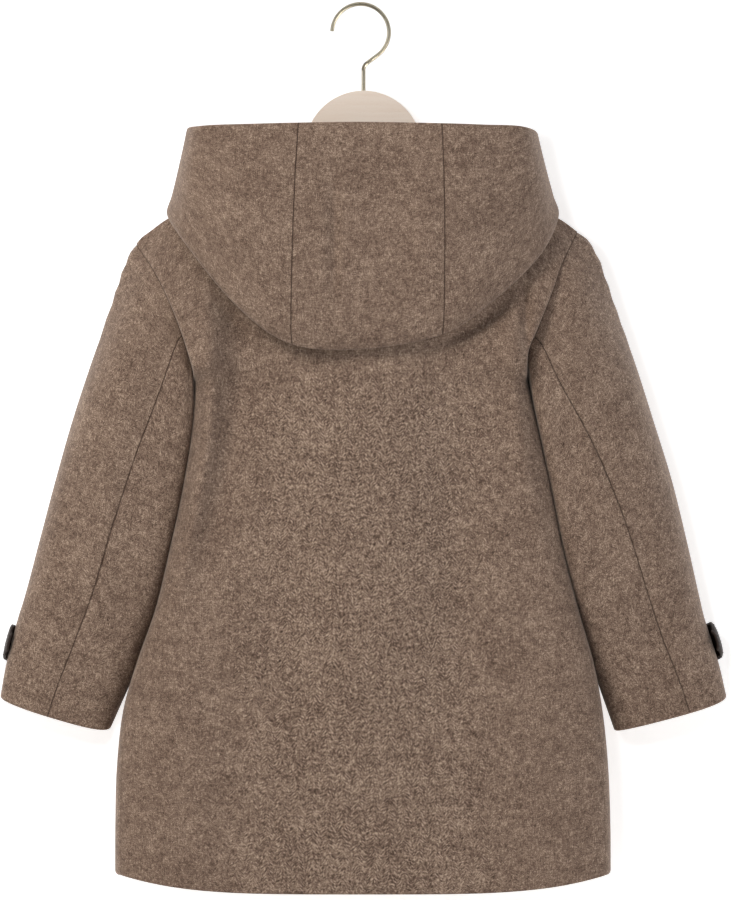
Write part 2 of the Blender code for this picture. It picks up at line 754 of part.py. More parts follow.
def build_front_buttons(body_tree):
    for number, drop in enumerate(FRONT_BUTTON_DROPS, 1):
        place, normal = body_tree.ray_cast(Vector((0, -1, -drop)), Vector((0, 1, 0)))[:2]
        add_button("front_button_%d" % number, place, normal, FRONT_BUTTON_RADIUS,
                   FRONT_BUTTON_THICK)


def arm_top(out):
    return column(SHOULDER, "drop", out) + ARM_TOP_BELOW_SEAM


def board_outline():
    # half of it, from the hump's top round the arm to the middle of the lower edge
    points = []
    for i in range(8):
        turn = math.radians(HUMP_TURN * i / 7)
        points.append((HUMP_RADIUS * math.sin(turn),
                       HUMP_TOP + HUMP_RADIUS * (1 - math.cos(turn))))
    start = np.array(points[-1])
    end = np.array((ARM_FROM, arm_top(ARM_FROM)))
    for i in range(1, 6):
        t = i / 6
        bend = start * (1 - t) ** 2 + np.array(HUMP_FOOT) * 2 * t * (1 - t) + end * t * t
        points.append(tuple(bend))
    for i in range(7):
        out = blend(ARM_FROM, ARM_TIP, i / 6)
        points.append((out, arm_top(out)))
    tip_drop = arm_top(ARM_TIP)
    for i in range(1, 5):
        turn = math.radians(36 * i)
        points.append((ARM_TIP + ARM_HEIGHT / 2 * math.sin(turn) * 0.7,
                       tip_drop + ARM_HEIGHT / 2 * (1 - math.cos(turn))))
    for i in range(6):
        low = blend(tip_drop + ARM_HEIGHT, BOARD_FOOT, (i / 6) ** 0.8)
        points.append((blend(ARM_TIP, 0.0, i / 6), low))
    return points


def build_board():
    half = board_outline()
    outline = half + [(0.0, BOARD_FOOT)] + [(-x, drop) for x, drop in half[:0:-1]]
    block = bmesh.new()
    face = block.faces.new([block.verts.new((x, -BOARD_THICK / 2, -drop)) for x, drop in outline])
    grown = bmesh.ops.extrude_face_region(block, geom=[face])
    moved = [item for item in grown["geom"] if isinstance(item, bmesh.types.BMVert)]
    bmesh.ops.translate(block, verts=moved, vec=(0, BOARD_THICK, 0))
    bmesh.ops.recalc_face_normals(block, faces=block.faces)
    mesh = bpy.data.meshes.new("hanger_board")
    block.to_mesh(mesh)
    block.free()
    board = add_object("hanger_board", mesh, BEECH, roughness=0.5)
    bore = bmesh.new()
    bmesh.ops.create_cone(bore, cap_ends=True, segments=16, radius1=WIRE_RADIUS + BORE_GAP,
                          radius2=WIRE_RADIUS + BORE_GAP, depth=2 * STEM_DEPTH)
    cutter_mesh = bpy.data.meshes.new("stem_bore")
    bore.to_mesh(cutter_mesh)
    bore.free()
    cutter = bpy.data.objects.new("stem_bore", cutter_mesh)
    bpy.context.collection.objects.link(cutter)
    cutter.location = (0, 0, -HUMP_TOP)
    cutter.hide_render = True
    cutter.display_type = "WIRE"
    bevel = board.modifiers.new("edges", "BEVEL")
    bevel.width = BOARD_EDGE
    bevel.segments = 2
    bevel.limit_method = "ANGLE"
    bevel.angle_limit = math.radians(60)
    cut = board.modifiers.new("bore", "BOOLEAN")
    cut.operation = "DIFFERENCE"
    cut.object = cutter


def hook_path():
    # round from the open tip over the top, then in to the stem and down into the board
    inside = HOOK_RADIUS - WIRE_RADIUS
    centre = -math.sqrt(inside ** 2 - HOOK_CENTRE_X ** 2)
    path = []
    steps = 30
    for i in range(steps + 1):
        turn = math.radians(blend(HOOK_OPEN_TURN, HOOK_END_TURN, i / steps))
        path.append((HOOK_CENTRE_X + HOOK_RADIUS * math.cos(turn), 0,
                     centre + HOOK_RADIUS * math.sin(turn)))
    last = np.array(path[-1])
    bend = np.array((0.0, 0.0, -HOOK_BEND_DROP))
    start = bend + unit(last - bend) * HOOK_BEND_REACH
    end = bend - UP * HOOK_BEND_REACH
    for i in range(6):
        t = i / 5
        path.append(tuple(start * (1 - t) ** 2 + bend * 2 * t * (1 - t) + end * t * t))
    path.append((0, 0, -HUMP_TOP - STEM_DEPTH + BORE_GAP))
    return path


def build_hook():
    curve = bpy.data.curves.new("hanger_hook", "CURVE")
    curve.dimensions = "3D"
    curve.bevel_depth = WIRE_RADIUS
    curve.bevel_resolution = 3
    curve.use_fill_caps = True
    path = hook_path()
    line = curve.splines.new("POLY")
    line.points.add(len(path) - 1)
    for point, place in zip(line.points, path):
        point.co = (*place, 1.0)
    curve.materials.append(material("hanger_hook", BRASS, 0.3, 1.0))
    thing = bpy.data.objects.new("hanger_hook", curve)
    bpy.context.collection.objects.link(thing)


def main():
    clear_scene()
    body_tree = build_body_and_sleeves()
    build_hood(lift_off(body_tree, HOOD_CLEAR))
    build_front_buttons(body_tree)
    build_tab(1, "left")
    build_tab(-1, "right")
    build_board()
    build_hook()


main()
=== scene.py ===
import math

import bmesh
import bpy
import numpy as np
from mathutils import Matrix, Vector
from mathutils.bvhtree import BVHTree
from mathutils.kdtree import KDTree


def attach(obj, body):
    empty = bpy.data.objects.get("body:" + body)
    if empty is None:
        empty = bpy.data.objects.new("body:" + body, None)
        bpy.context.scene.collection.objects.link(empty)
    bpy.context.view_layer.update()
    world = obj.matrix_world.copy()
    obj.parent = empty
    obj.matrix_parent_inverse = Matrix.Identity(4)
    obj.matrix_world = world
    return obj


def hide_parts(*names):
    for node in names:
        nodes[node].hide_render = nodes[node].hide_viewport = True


# A child's hooded wool coat on a wooden hanger, seen from behind. Metres, +Z up, +Y out of
# the coat's back, +X the wearer's left. A drop is a distance below the inside top of the hook.
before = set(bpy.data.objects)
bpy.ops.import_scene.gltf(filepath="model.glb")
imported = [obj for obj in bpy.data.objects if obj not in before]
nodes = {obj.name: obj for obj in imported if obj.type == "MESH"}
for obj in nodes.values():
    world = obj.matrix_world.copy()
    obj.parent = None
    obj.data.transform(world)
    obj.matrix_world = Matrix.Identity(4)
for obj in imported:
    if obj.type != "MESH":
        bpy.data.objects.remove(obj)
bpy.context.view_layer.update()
print("frame loaded,", len(nodes), "nodes")

up = np.array((0.0, 0.0, 1.0))


def softCurve(places, values, at):
    # a soft line through the values given at rising places
    places = np.asarray(places, float)
    values = np.asarray(values, float)
    spans = np.diff(places)
    slopes = np.diff(values) / spans
    tangents = np.concatenate((slopes[:1], (slopes[:-1] + slopes[1:]) / 2, slopes[-1:]))
    at = np.clip(at, places[0], places[-1])
    i = np.clip(np.searchsorted(places, at) - 1, 0, len(spans) - 1)
    t = (at - places[i]) / spans[i]
    start = values[i] * (1 + 2 * t) * (1 - t) ** 2 + tangents[i] * spans[i] * t * (1 - t) ** 2
    end = values[i + 1] * t * t * (3 - 2 * t) - tangents[i + 1] * spans[i] * t * t * (1 - t)
    return start + end


def blend(a, b, t):
    return a * (1 - t) + b * t


def ease(t):
    t = np.clip(t, 0.0, 1.0)
    return t * t * (3 - 2 * t)


def squareTurn(turn, squareness):
    # cosine and sine of a rounded rectangle's turn, in degrees
    c = np.cos(np.radians(turn))
    s = np.sin(np.radians(turn))
    power = 2 / squareness
    return np.sign(c) * np.abs(c) ** power, np.sign(s) * np.abs(s) ** power


def point(x, y, z):
    return np.stack(np.broadcast_arrays(x, y, z), axis=-1)


def unit(vector):
    return vector / np.linalg.norm(vector)


def lengthsOf(path):
    # how far along a path each of its points is
    return np.concatenate(([0], np.cumsum(np.linalg.norm(np.diff(path, axis=0), axis=1))))


def softFolds(folds, x, drop):
    # folds run from one place to another, each with its width and its height out of the cloth
    total = 0.0
    for startX, startDrop, endX, endDrop, width, height in folds:
        t = (drop - startDrop) / (endDrop - startDrop)
        fade = ease(t / body["foldStart"] + 0.5) * ease((1 - t) / body["foldEnd"] + 0.5)
        total = total + height * fade * np.exp(-(((x - blend(startX, endX, t)) / width) ** 2))
    return total


def creaseHeight(creases, x, drop):
    # creases laid one by one: drops, places across, heights in mm and widths in mm to each side
    total = np.zeros(np.broadcast(x, drop).shape)
    for drops, places, heights, (widthMinus, widthPlus) in creases:
        away = x - softCurve(drops, places, drop)
        width = np.where(away < 0, widthMinus, widthPlus) / 1000
        height = softCurve(drops, heights, drop) / 1000
        height = np.where((drop < drops[0]) | (drop > drops[-1]), 0.0, height)
        total += height * np.exp(-((away / width) ** 2))
    return total


body = {
    # outline to the left and right, and how far back and front stand out, below the armpit
    "drop": (0.319, 0.360, 0.410, 0.460, 0.510, 0.560, 0.600, 0.650, 0.700, 0.745),
    "left": (0.1447, 0.1468, 0.1543, 0.1650, 0.1765, 0.1932, 0.2040, 0.2096, 0.2110, 0.2112),
    "right": (0.1398, 0.1498, 0.1608, 0.1706, 0.1822, 0.1958, 0.2030, 0.2080, 0.2099, 0.2102),
    "back": (0.052, 0.054, 0.054, 0.053, 0.052, 0.051, 0.050, 0.049, 0.048, 0.047),
    "front": (0.052, 0.053, 0.054, 0.054, 0.053, 0.052, 0.051, 0.050, 0.049, 0.048),
    # the back lies flat almost up to the sleeves
    "squareness": (6.0, 6.0, 5.8, 5.4, 5.0, 4.6, 4.3, 4.0, 3.9, 3.8),
    "armpit": 0.319,
    "hem": 0.745,
    "hemCentre": 0.7552,
    "hemRise": 0.0166,          # the hem rises towards the sides
    "hemRisePower": 3.9,
    "hemHalf": 0.210,
    "hemCorner": 0.0045,        # and its corners are round
    "hemCornerPower": 12,
    "sideSeamTurn": 17.0,       # the side seams lie a little to the back near the hem
    "sideSeamFrom": 0.440,
    "sideSeamTo": 0.600,
    "foldsFullDepth": 0.045,    # how far from the middle plane folds have their full height
    "foldStart": 0.2,           # shares of a fold's length in which it rises and dies away
    "foldEnd": 0.3,
    "bladeBulge": 0.006,
    "armholePull": 1.4,
    # steps of the pattern: shoulder seam, neck, armhole, side seam
    "shoulderSteps": 5,
    "shoulderPull": 1.5,
    "acrossSteps": 11,
    "frontSteps": 9,            # to the lap, which takes the steps that are left
    "armholeSteps": 9,
    "sideSteps": 11,
}
shoulder = {
    "out": (0.0660, 0.1200, 0.1680, 0.1820, 0.1895, 0.1935),
    "drop": (0.1400, 0.1600, 0.1812, 0.1914, 0.1971, 0.2020),
    "tip": {1: 0.1935, -1: 0.1820},
}
neck = {
    "half": 0.066,
    "back": 0.038,
    "front": 0.050,
    "drop": 0.140,
    "backFall": 0.010,
    "frontFall": 0.055,
    "frontFallPower": 1.6,
}
armhole = {
    # turn 0 at the shoulder, 1 at the armpit
    "turn": (0.00, 0.20, 0.40, 0.67, 0.83, 0.93, 1.00),
    1: (0.1935, 0.1786, 0.1672, 0.1545, 0.1483, 0.1449, 0.1445),
    -1: (0.1820, 0.1695, 0.1608, 0.1475, 0.1405, 0.1394, 0.1396),
    "drop1": (0.2020, 0.2240, 0.2467, 0.2786, 0.2982, 0.3110, 0.3190),
    "drop-1": (0.1914, 0.2167, 0.2420, 0.2755, 0.2925, 0.3050, 0.3190),
    "depth": (0.000, 0.027, 0.038, 0.042, 0.039, 0.032, 0.000),
}
lap = {
    # the left front lies over the right one; its last columns are places from the centre
    "columns": (0.036, 0.008, -0.020),
    "fade": 0.022,
    "gap": 0.0012,
}
# startX, startDrop, endX, endDrop, width, height
backFolds = [
    (0.113, 0.235, 0.128, 0.455, 0.022, -0.0030),
    (-0.020, 0.300, -0.012, 0.620, 0.040, 0.0030),
    (-0.076, 0.300, -0.085, 0.560, 0.028, -0.0030),
    (0.080, 0.380, 0.070, 0.640, 0.030, -0.0025),
    (-0.128, 0.270, -0.134, 0.440, 0.016, 0.0025),
    (0.150, 0.560, 0.170, 0.750, 0.030, 0.0040),
    (-0.150, 0.570, -0.165, 0.750, 0.032, 0.0035),
]
frontFolds = [
    (0.110, 0.240, 0.125, 0.470, 0.022, -0.0045),
    (-0.108, 0.245, -0.120, 0.430, 0.024, -0.0050),
    (0.085, 0.480, 0.095, 0.750, 0.035, 0.0040),
    (-0.090, 0.450, -0.110, 0.750, 0.032, 0.0045),
]


# drops, x places, heights in mm, widths in mm towards the wearer's right and left
backCreases = [
    # a rounded ridge against the left sleeve and the long trough beside it
    ((0.225, 0.265, 0.310, 0.360, 0.420, 0.480, 0.540),
     (0.1360, 0.1325, 0.1310, 0.1325, 0.1425, 0.1555, 0.1680),
     (1.5, 5.6, 10.0, 11.2, 9.4, 5.4, 0.0), (11.0, 9.0)),
    ((0.215, 0.250, 0.290, 0.340, 0.390, 0.440, 0.490, 0.540),
     (0.0990, 0.1010, 0.1020, 0.1040, 0.1120, 0.1220, 0.1330, 0.1440),
     (-1.5, -7.0, -10.4, -10.2, -8.4, -6.0, -3.0, 0.0), (44.0, 15.0)),
    # a short sharp crease above the right armpit, and the ridge below it
    ((0.222, 0.250, 0.275, 0.305), (-0.1360, -0.1380, -0.1390, -0.1395),
     (0.0, -5.0, -5.6, 0.0), (3.8, 5.0)),
    # where the back falls away under the hood's edge
    ((0.236, 0.250, 0.262, 0.274, 0.290), (-0.1310, -0.1200, -0.1075, -0.0900, -0.0650),
     (0.0, -4.0, -6.0, -6.0, 0.0), (13.0, 9.0)),
    ((0.236, 0.2565, 0.2735, 0.288, 0.305), (0.1330, 0.1200, 0.1000, 0.0830, 0.0650),
     (0.0, -4.0, -5.0, -3.5, 0.0), (10.0, 12.0)),
    ((0.250, 0.300, 0.370, 0.430, 0.500), (-0.1250, -0.1270, -0.1350, -0.1470, -0.1610),
     (0.0, 3.0, 3.2, 2.0, 0.0), (9.0, 9.0)),
    # a broad swelling down the middle whose right flank falls into shade
    ((0.230, 0.310, 0.420, 0.520, 0.620, 0.750), (-0.004, -0.006, -0.006, -0.004, 0.002, 0.008),
     (0.0, 5.6, 7.6, 6.8, 3.6, 2.0), (42.0, 44.0)),
    ((0.300, 0.380, 0.470, 0.560, 0.640), (-0.078, -0.078, -0.074, -0.076, -0.080),
     (0.0, -1.6, -2.2, -1.6, 0.0), (20.0, 18.0)),
    # faint pulls
    ((0.420, 0.480, 0.560, 0.650), (0.060, 0.066, 0.070, 0.082),
     (0.0, -1.0, -1.3, 0.0), (12.0, 15.0)),
    ((0.560, 0.620, 0.700, 0.760), (-0.120, -0.126, -0.134, -0.138),
     (0.0, 1.2, 1.6, 1.0), (16.0, 12.0)),
    ((0.600, 0.660, 0.720, 0.760), (0.128, 0.134, 0.140, 0.143),
     (0.0, 1.1, 1.6, 1.2), (14.0, 18.0)),
]
frontCreases = [
    ((0.230, 0.280, 0.340, 0.420, 0.500), (0.1180, 0.1220, 0.1230, 0.1320, 0.1460),
     (0.0, -3.0, -3.4, -2.2, 0.0), (11.0, 9.0)),
    ((0.240, 0.290, 0.350, 0.430), (-0.1130, -0.1180, -0.1200, -0.1290),
     (0.0, -2.6, -3.0, 0.0), (9.0, 12.0)),
    ((0.300, 0.360, 0.440, 0.520), (0.0760, 0.0800, 0.0840, 0.0860),
     (0.0, 1.6, 2.0, 0.0), (18.0, 14.0)),
    ((0.280, 0.350, 0.450, 0.580), (-0.0620, -0.0660, -0.0760, -0.0800),
     (0.0, 1.8, 2.4, 0.0), (16.0, 20.0)),
    ((0.520, 0.600, 0.680, 0.760), (0.1300, 0.1380, 0.1450, 0.1480),
     (0.0, 1.4, 2.2, 2.4), (14.0, 17.0)),
    ((0.500, 0.590, 0.680, 0.760), (-0.0980, -0.1080, -0.1140, -0.1180),
     (0.0, -1.2, -1.9, -2.2), (14.0, 12.0)),
]


def bodyPoint(turn, drop):
    # turn 0 is the left side, 90 centre back, 180 the right side and -90 centre front
    left = softCurve(body["drop"], body["left"], drop)
    right = softCurve(body["drop"], body["right"], drop)
    c, s = squareTurn(turn, softCurve(body["drop"], body["squareness"], drop))
    depth = np.where(s >= 0, softCurve(body["drop"], body["back"], drop),
                     softCurve(body["drop"], body["front"], drop))
    return point((left - right) / 2 + (left + right) / 2 * c, depth * s, -drop)


def neckPoint(side, share):
    # share 0 at centre back, 0.5 over the shoulder, 1 at centre front
    away = np.cos(np.pi * share)
    reach = np.where(away > 0, neck["back"], neck["front"])
    fall = np.where(away > 0, neck["backFall"] * away ** 2,
                    neck["frontFall"] * np.abs(away) ** neck["frontFallPower"])
    return point(side * neck["half"] * np.sin(np.pi * share), reach * away, -neck["drop"] - fall)


def armholePoint(side, turn, face):
    x = softCurve(armhole["turn"], armhole[side], turn)
    drop = softCurve(armhole["turn"], armhole["drop%d" % side], turn)
    return point(side * x, face * softCurve(armhole["turn"], armhole["depth"], turn), -drop)


def lapTurn(side, x, drop):
    # where the front reaches a place past the centre
    left = softCurve(body["drop"], body["left"], drop)
    right = softCurve(body["drop"], body["right"], drop)
    c = (x - side * (left - right) / 2) / ((left + right) / 2)
    c = np.sign(c) * np.abs(c) ** (softCurve(body["drop"], body["squareness"], drop) / 2)
    return -np.degrees(np.arccos(c))


def topEdge(side, face, across):
    # along the shoulder seam from the sleeve, then along the neck
    first = body["shoulderSteps"]
    share = np.clip(across / first, 0, 1) ** body["shoulderPull"]
    out = blend(shoulder["tip"][side], neck["half"], share)
    seam = point(side * out, 0.0, -softCurve(shoulder["out"], shoulder["drop"], out))
    if face > 0:
        shares = np.interp(across, (first, body["acrossSteps"]), (0.5, 0.0))
    else:
        marks = [1 - math.asin(x / neck["half"]) / math.pi for x in lap["columns"]]
        last = body["frontSteps"]
        shares = np.interp(across, (first, last, last + 1, last + 2), (0.5, *marks))
    return np.where((across <= first)[..., None], seam, neckPoint(side, shares))


def ringTurns(side, face, across, drop):
    # from the side seam towards the centre
    start = body["sideSeamTurn"] * ease((drop - body["sideSeamFrom"])
                                        / (body["sideSeamTo"] - body["sideSeamFrom"]))
    if face > 0:
        turns = blend(start, 90, across / body["acrossSteps"])
    else:
        marks = [lapTurn(side, x, drop) for x in lap["columns"]]
        last = body["frontSteps"]
        turns = (blend(start, marks[0], np.clip(across / last, 0, 1))
                 + (marks[1] - marks[0]) * np.clip(across - last, 0, 1)
                 + (marks[2] - marks[1]) * np.clip(across - (last + 1), 0, 1))
    return turns if side > 0 else 180 - turns


def halfBody(side, face, across, down):
    # one half of the back, or one front, as a grid of points from the shoulder to the hem
    across = across[None, :]
    down = down[:, None]
    top = topEdge(side, face, across)
    armpitTurns = ringTurns(side, face, across, np.array([[body["armpit"]]]))
    armpitRow = bodyPoint(armpitTurns, body["armpit"])
    v = np.clip(down / body["armholeSteps"], 0, 1)
    edge = armholePoint(side, v, face)
    slip = edge - blend(top[:, :1], armpitRow[:, :1], v[..., None])
    reach = body["acrossSteps"] if face > 0 else body["frontSteps"]
    weight = np.maximum(1 - across / reach, 0) ** body["armholePull"]
    upper = blend(top, armpitRow, v[..., None]) + slip * weight[..., None]
    upper[..., 1] += face * body["bladeBulge"] * np.sin(np.pi * v) * (1 - weight)
    share = np.clip((down - body["armholeSteps"]) / body["sideSteps"], 0, 1)
    drop = blend(body["armpit"], body["hem"], share)
    lower = bodyPoint(ringTurns(side, face, across, drop), drop)
    aside = np.minimum(np.abs(lower[..., 0]) / body["hemHalf"], 1)
    hem = body["hemCentre"] - body["hemRise"] * aside ** body["hemRisePower"]
    lower[..., 2] = -blend(body["armpit"], hem, share)
    corner = roundOver(hem + lower[..., 2], body["hemCorner"])
    lower[..., 0] -= side * corner * aside ** body["hemCornerPower"]
    grid = np.where((down < body["armholeSteps"])[..., None], upper, lower)
    flatness = np.minimum(1, np.abs(grid[..., 1]) / body["foldsFullDepth"]) ** 2 * ease(across)
    x, drop = grid[..., 0], -grid[..., 2]
    heights = softFolds(backFolds if face > 0 else frontFolds, x, drop)
    heights = heights + creaseHeight(backCreases if face > 0 else frontCreases, x, drop)
    grid[..., 1] += face * flatness * heights
    if face < 0 and side > 0:
        over = 1 - ease((grid[..., 0] - lap["columns"][0]) / lap["fade"])
        grid[..., 1] -= over * (cloth["thick"] + lap["gap"])
    return grid


sleeve = {
    # the outer edge in the back view
    "drop": (0.1914, 0.1953, 0.2020, 0.2120, 0.2240, 0.2500, 0.3007, 0.3517, 0.4027, 0.4537, 0.5047,
             0.5175, 0.5600, 0.5880),
    1: (0.1850, 0.1880, 0.1935, 0.1999, 0.2048, 0.2134, 0.2305, 0.2472, 0.2617, 0.2752, 0.2888,
        0.2929, 0.3039, 0.3090),
    -1: (0.1820, 0.1872, 0.1938, 0.1994, 0.2039, 0.2126, 0.2301, 0.2464, 0.2621, 0.2747, 0.2862,
         0.2892, 0.3024, 0.3089),
    "cuff": {1: (0.5872, 0.6122, 0.2149), -1: (0.5872, 0.6154, 0.2133)},
    "leavesBody": 0.560,
    "clear": -0.0004,
    "armpitOpens": 120,
    # down the sleeve: half its depth, and where the hind seam lies between the edges, from
    # -1 at the inner one to 1 at the outer one
    "share": (0.00, 0.12, 0.25, 0.50, 0.75, 1.00),
    "depth": (0.040, 0.040, 0.038, 0.034, 0.029, 0.023),
    "backLift1": (0.000, 0.008, 0.016, 0.018, 0.009, 0.000),
    "backLift-1": (0.000, 0.013, 0.024, 0.028, 0.018, 0.004),
    "hind1": (-0.697, -0.360, -0.180, -0.040, 0.040, 0.150),
    "hind-1": (-0.770, -0.495, -0.190, 0.085, 0.215, 0.350),
    "frontSeam": -140,
    "squareness": 2.4,
    "innerSquareness": 3.4,
    "innerFlatness": (7.0, 8.0, 9.0, 8.0, 4.0, 2.8),
    "forward": 0.020,
    "tuck": 0.0016,
    "tucksBy": 0.12,
    "swingsBy": 0.35,
    "outerPull": 0.87,          # how the rows slant from the outer to the inner edge
    "innerPull": 1.1,
    "creasesBy": 0.12,
    "cuffDip": {1: 0.0066, -1: 0.0046},
    "cuffDipPower": 6,
    "cuffTilt": {1: -0.2, -1: 0.3},
    "headFade": 0.30,
    "rowGrowth": 1.25,
    "rows": 14,
    "topSteps": 13,
    "underSteps": 10,
}


def sleeveEdges(side, share):
    outerCuff, innerCuff, innerOut = sleeve["cuff"][side]
    start = armhole["drop%d" % side][0]
    outerDrop = blend(start, outerCuff, share ** sleeve["outerPull"])
    innerDrop = blend(body["armpit"], innerCuff, share ** sleeve["innerPull"])
    outer = softCurve(sleeve["drop"], sleeve[side], outerDrop)
    sideName = "left" if side > 0 else "right"
    inner = softCurve(body["drop"], body[sideName], np.minimum(innerDrop, sleeve["leavesBody"]))
    inner = inner + sleeve["clear"] - sleeve["tuck"] * ease(share / sleeve["tucksBy"])
    past = (innerDrop - sleeve["leavesBody"]) / (innerCuff - sleeve["leavesBody"])
    inner = blend(inner, innerOut, np.clip(past, 0, 1))
    return point(side * outer, 0, -outerDrop), point(side * inner, 0, -innerDrop)


def sleeveRing(side, share, turn):
    outerEdge, innerEdge = sleeveEdges(side, share)
    square = np.where(np.abs(turn) > 90, sleeve["innerSquareness"], sleeve["squareness"])
    c, s = squareTurn(turn, square)
    # the inner half stays flat almost up to its edge
    flat = softCurve(sleeve["share"], sleeve["innerFlatness"], share)
    s = np.where(np.abs(turn) > 90, np.sign(s) * (1 - np.abs(c) ** flat) ** (1 / flat), s)
    ring = (outerEdge + innerEdge) / 2 + (outerEdge - innerEdge) / 2 * c[..., None]
    forward = sleeve["forward"] * ease(share / sleeve["swingsBy"])
    backLift = softCurve(sleeve["share"], sleeve["backLift%d" % side], share)
    ring[..., 1] = (softCurve(sleeve["share"], sleeve["depth"], share) * s - forward
                    + backLift * np.maximum(s, 0))
    tilt = 1 + sleeve["cuffTilt"][side] * c
    ring[..., 2] -= sleeve["cuffDip"][side] * np.abs(s) * tilt * share ** sleeve["cuffDipPower"]
    return ring


def sleevePoint(side, share, turn):
    # turn 0 is the outer edge, 180 the inner edge, and 0 to 180 runs over the back
    share, turn = np.broadcast_arrays(share, turn)
    face = np.where(turn >= 0, 1, -1)
    head = armholePoint(side, np.abs(turn) / 180, face)
    opens = sleeve["armpitOpens"]
    head[..., 0] += side * sleeve["clear"] * ease((np.abs(turn) - opens) / (180 - opens))
    slip = head - sleeveRing(side, np.zeros_like(share), turn)
    fade = 1 - ease(share / sleeve["headFade"])
    return sleeveRing(side, share, turn) + slip * fade[..., None]


# as on the back: drops, x places, heights and widths in mm; seen from behind, then from the front
sleeveCreases = {
    (1, 1): [
        ((0.260, 0.320, 0.400, 0.480, 0.560), (0.2000, 0.2060, 0.2160, 0.2220, 0.2300),
         (0.0, 1.8, 2.4, 2.0, 0.0), (11.0, 12.0)),
        ((0.340, 0.390, 0.450, 0.500, 0.550), (0.2400, 0.2460, 0.2500, 0.2530, 0.2580),
         (0.0, -1.6, -2.4, -1.8, 0.0), (7.0, 9.0)),
        ((0.290, 0.330, 0.380), (0.1700, 0.1760, 0.1850), (0.0, -1.4, 0.0), (7.0, 7.0)),
        ((0.470, 0.520, 0.570), (0.1990, 0.2050, 0.2180), (0.0, -1.5, 0.0), (9.0, 8.0)),
        ((0.220, 0.250, 0.290), (0.1950, 0.1930, 0.1880), (0.0, -0.9, 0.0), (8.0, 8.0)),
    ],
    (-1, 1): [
        ((0.270, 0.330, 0.400, 0.470), (-0.1760, -0.1860, -0.1960, -0.2080),
         (0.0, 1.7, 2.2, 0.0), (9.0, 10.0)),
        ((0.300, 0.360, 0.430, 0.500, 0.560), (-0.2140, -0.2240, -0.2330, -0.2450, -0.2560),
         (0.0, -1.2, -1.8, -2.2, 0.0), (10.0, 8.0)),
        ((0.380, 0.440, 0.510, 0.570), (-0.2560, -0.2660, -0.2760, -0.2840),
         (0.0, 1.4, 1.8, 0.0), (7.0, 8.0)),
        ((0.440, 0.500, 0.560), (-0.2080, -0.2170, -0.2290), (0.0, 1.3, 0.0), (8.0, 8.0)),
    ],
    (1, -1): [
        ((0.260, 0.330, 0.420), (0.1960, 0.2080, 0.2240), (0.0, -2.0, 0.0), (9.0, 12.0)),
        ((0.330, 0.400, 0.480, 0.550), (0.2180, 0.2280, 0.2380, 0.2440),
         (0.0, 1.7, 2.1, 0.0), (10.0, 9.0)),
        ((0.400, 0.460, 0.540), (0.2040, 0.2120, 0.2260), (0.0, -1.8, 0.0), (8.0, 8.0)),
    ],
    (-1, -1): [
        ((0.280, 0.350, 0.430), (-0.1880, -0.2040, -0.2200), (0.0, -1.7, 0.0), (11.0, 9.0)),
        ((0.350, 0.430, 0.520), (-0.2300, -0.2420, -0.2560), (0.0, 1.9, 0.0), (9.0, 10.0)),
        ((0.420, 0.490, 0.560), (-0.2080, -0.2200, -0.2360), (0.0, -1.6, 0.0), (8.0, 9.0)),
    ],
}


def sleeveShares(down):
    return (down / sleeve["rows"]) ** sleeve["rowGrowth"]


def sleeveGrid(side, part, across, down):
    share = sleeveShares(down)[:, None]
    place = softCurve(sleeve["share"], sleeve["hind%d" % side], share)
    square = np.where(place < 0, sleeve["innerSquareness"], sleeve["squareness"])
    hind = np.degrees(np.arccos(np.sign(place) * np.abs(place) ** (square / 2)))
    if part == "top":
        turn = blend(sleeve["frontSeam"], hind, across[None, :] / sleeve["topSteps"])
    else:
        turn = blend(hind, sleeve["frontSeam"] + 360, across[None, :] / sleeve["underSteps"])
        turn = np.where(turn > 180, turn - 360, turn)
    grid = sleevePoint(side, share, turn)
    flatness = np.sin(np.radians(turn)) * ease(share / sleeve["creasesBy"])
    for face in (1, -1):
        heights = creaseHeight(sleeveCreases[(side, face)], grid[..., 0], -grid[..., 2])
        grid[..., 1] += heights * np.clip(face * flatness, 0, 1) * face
    return grid


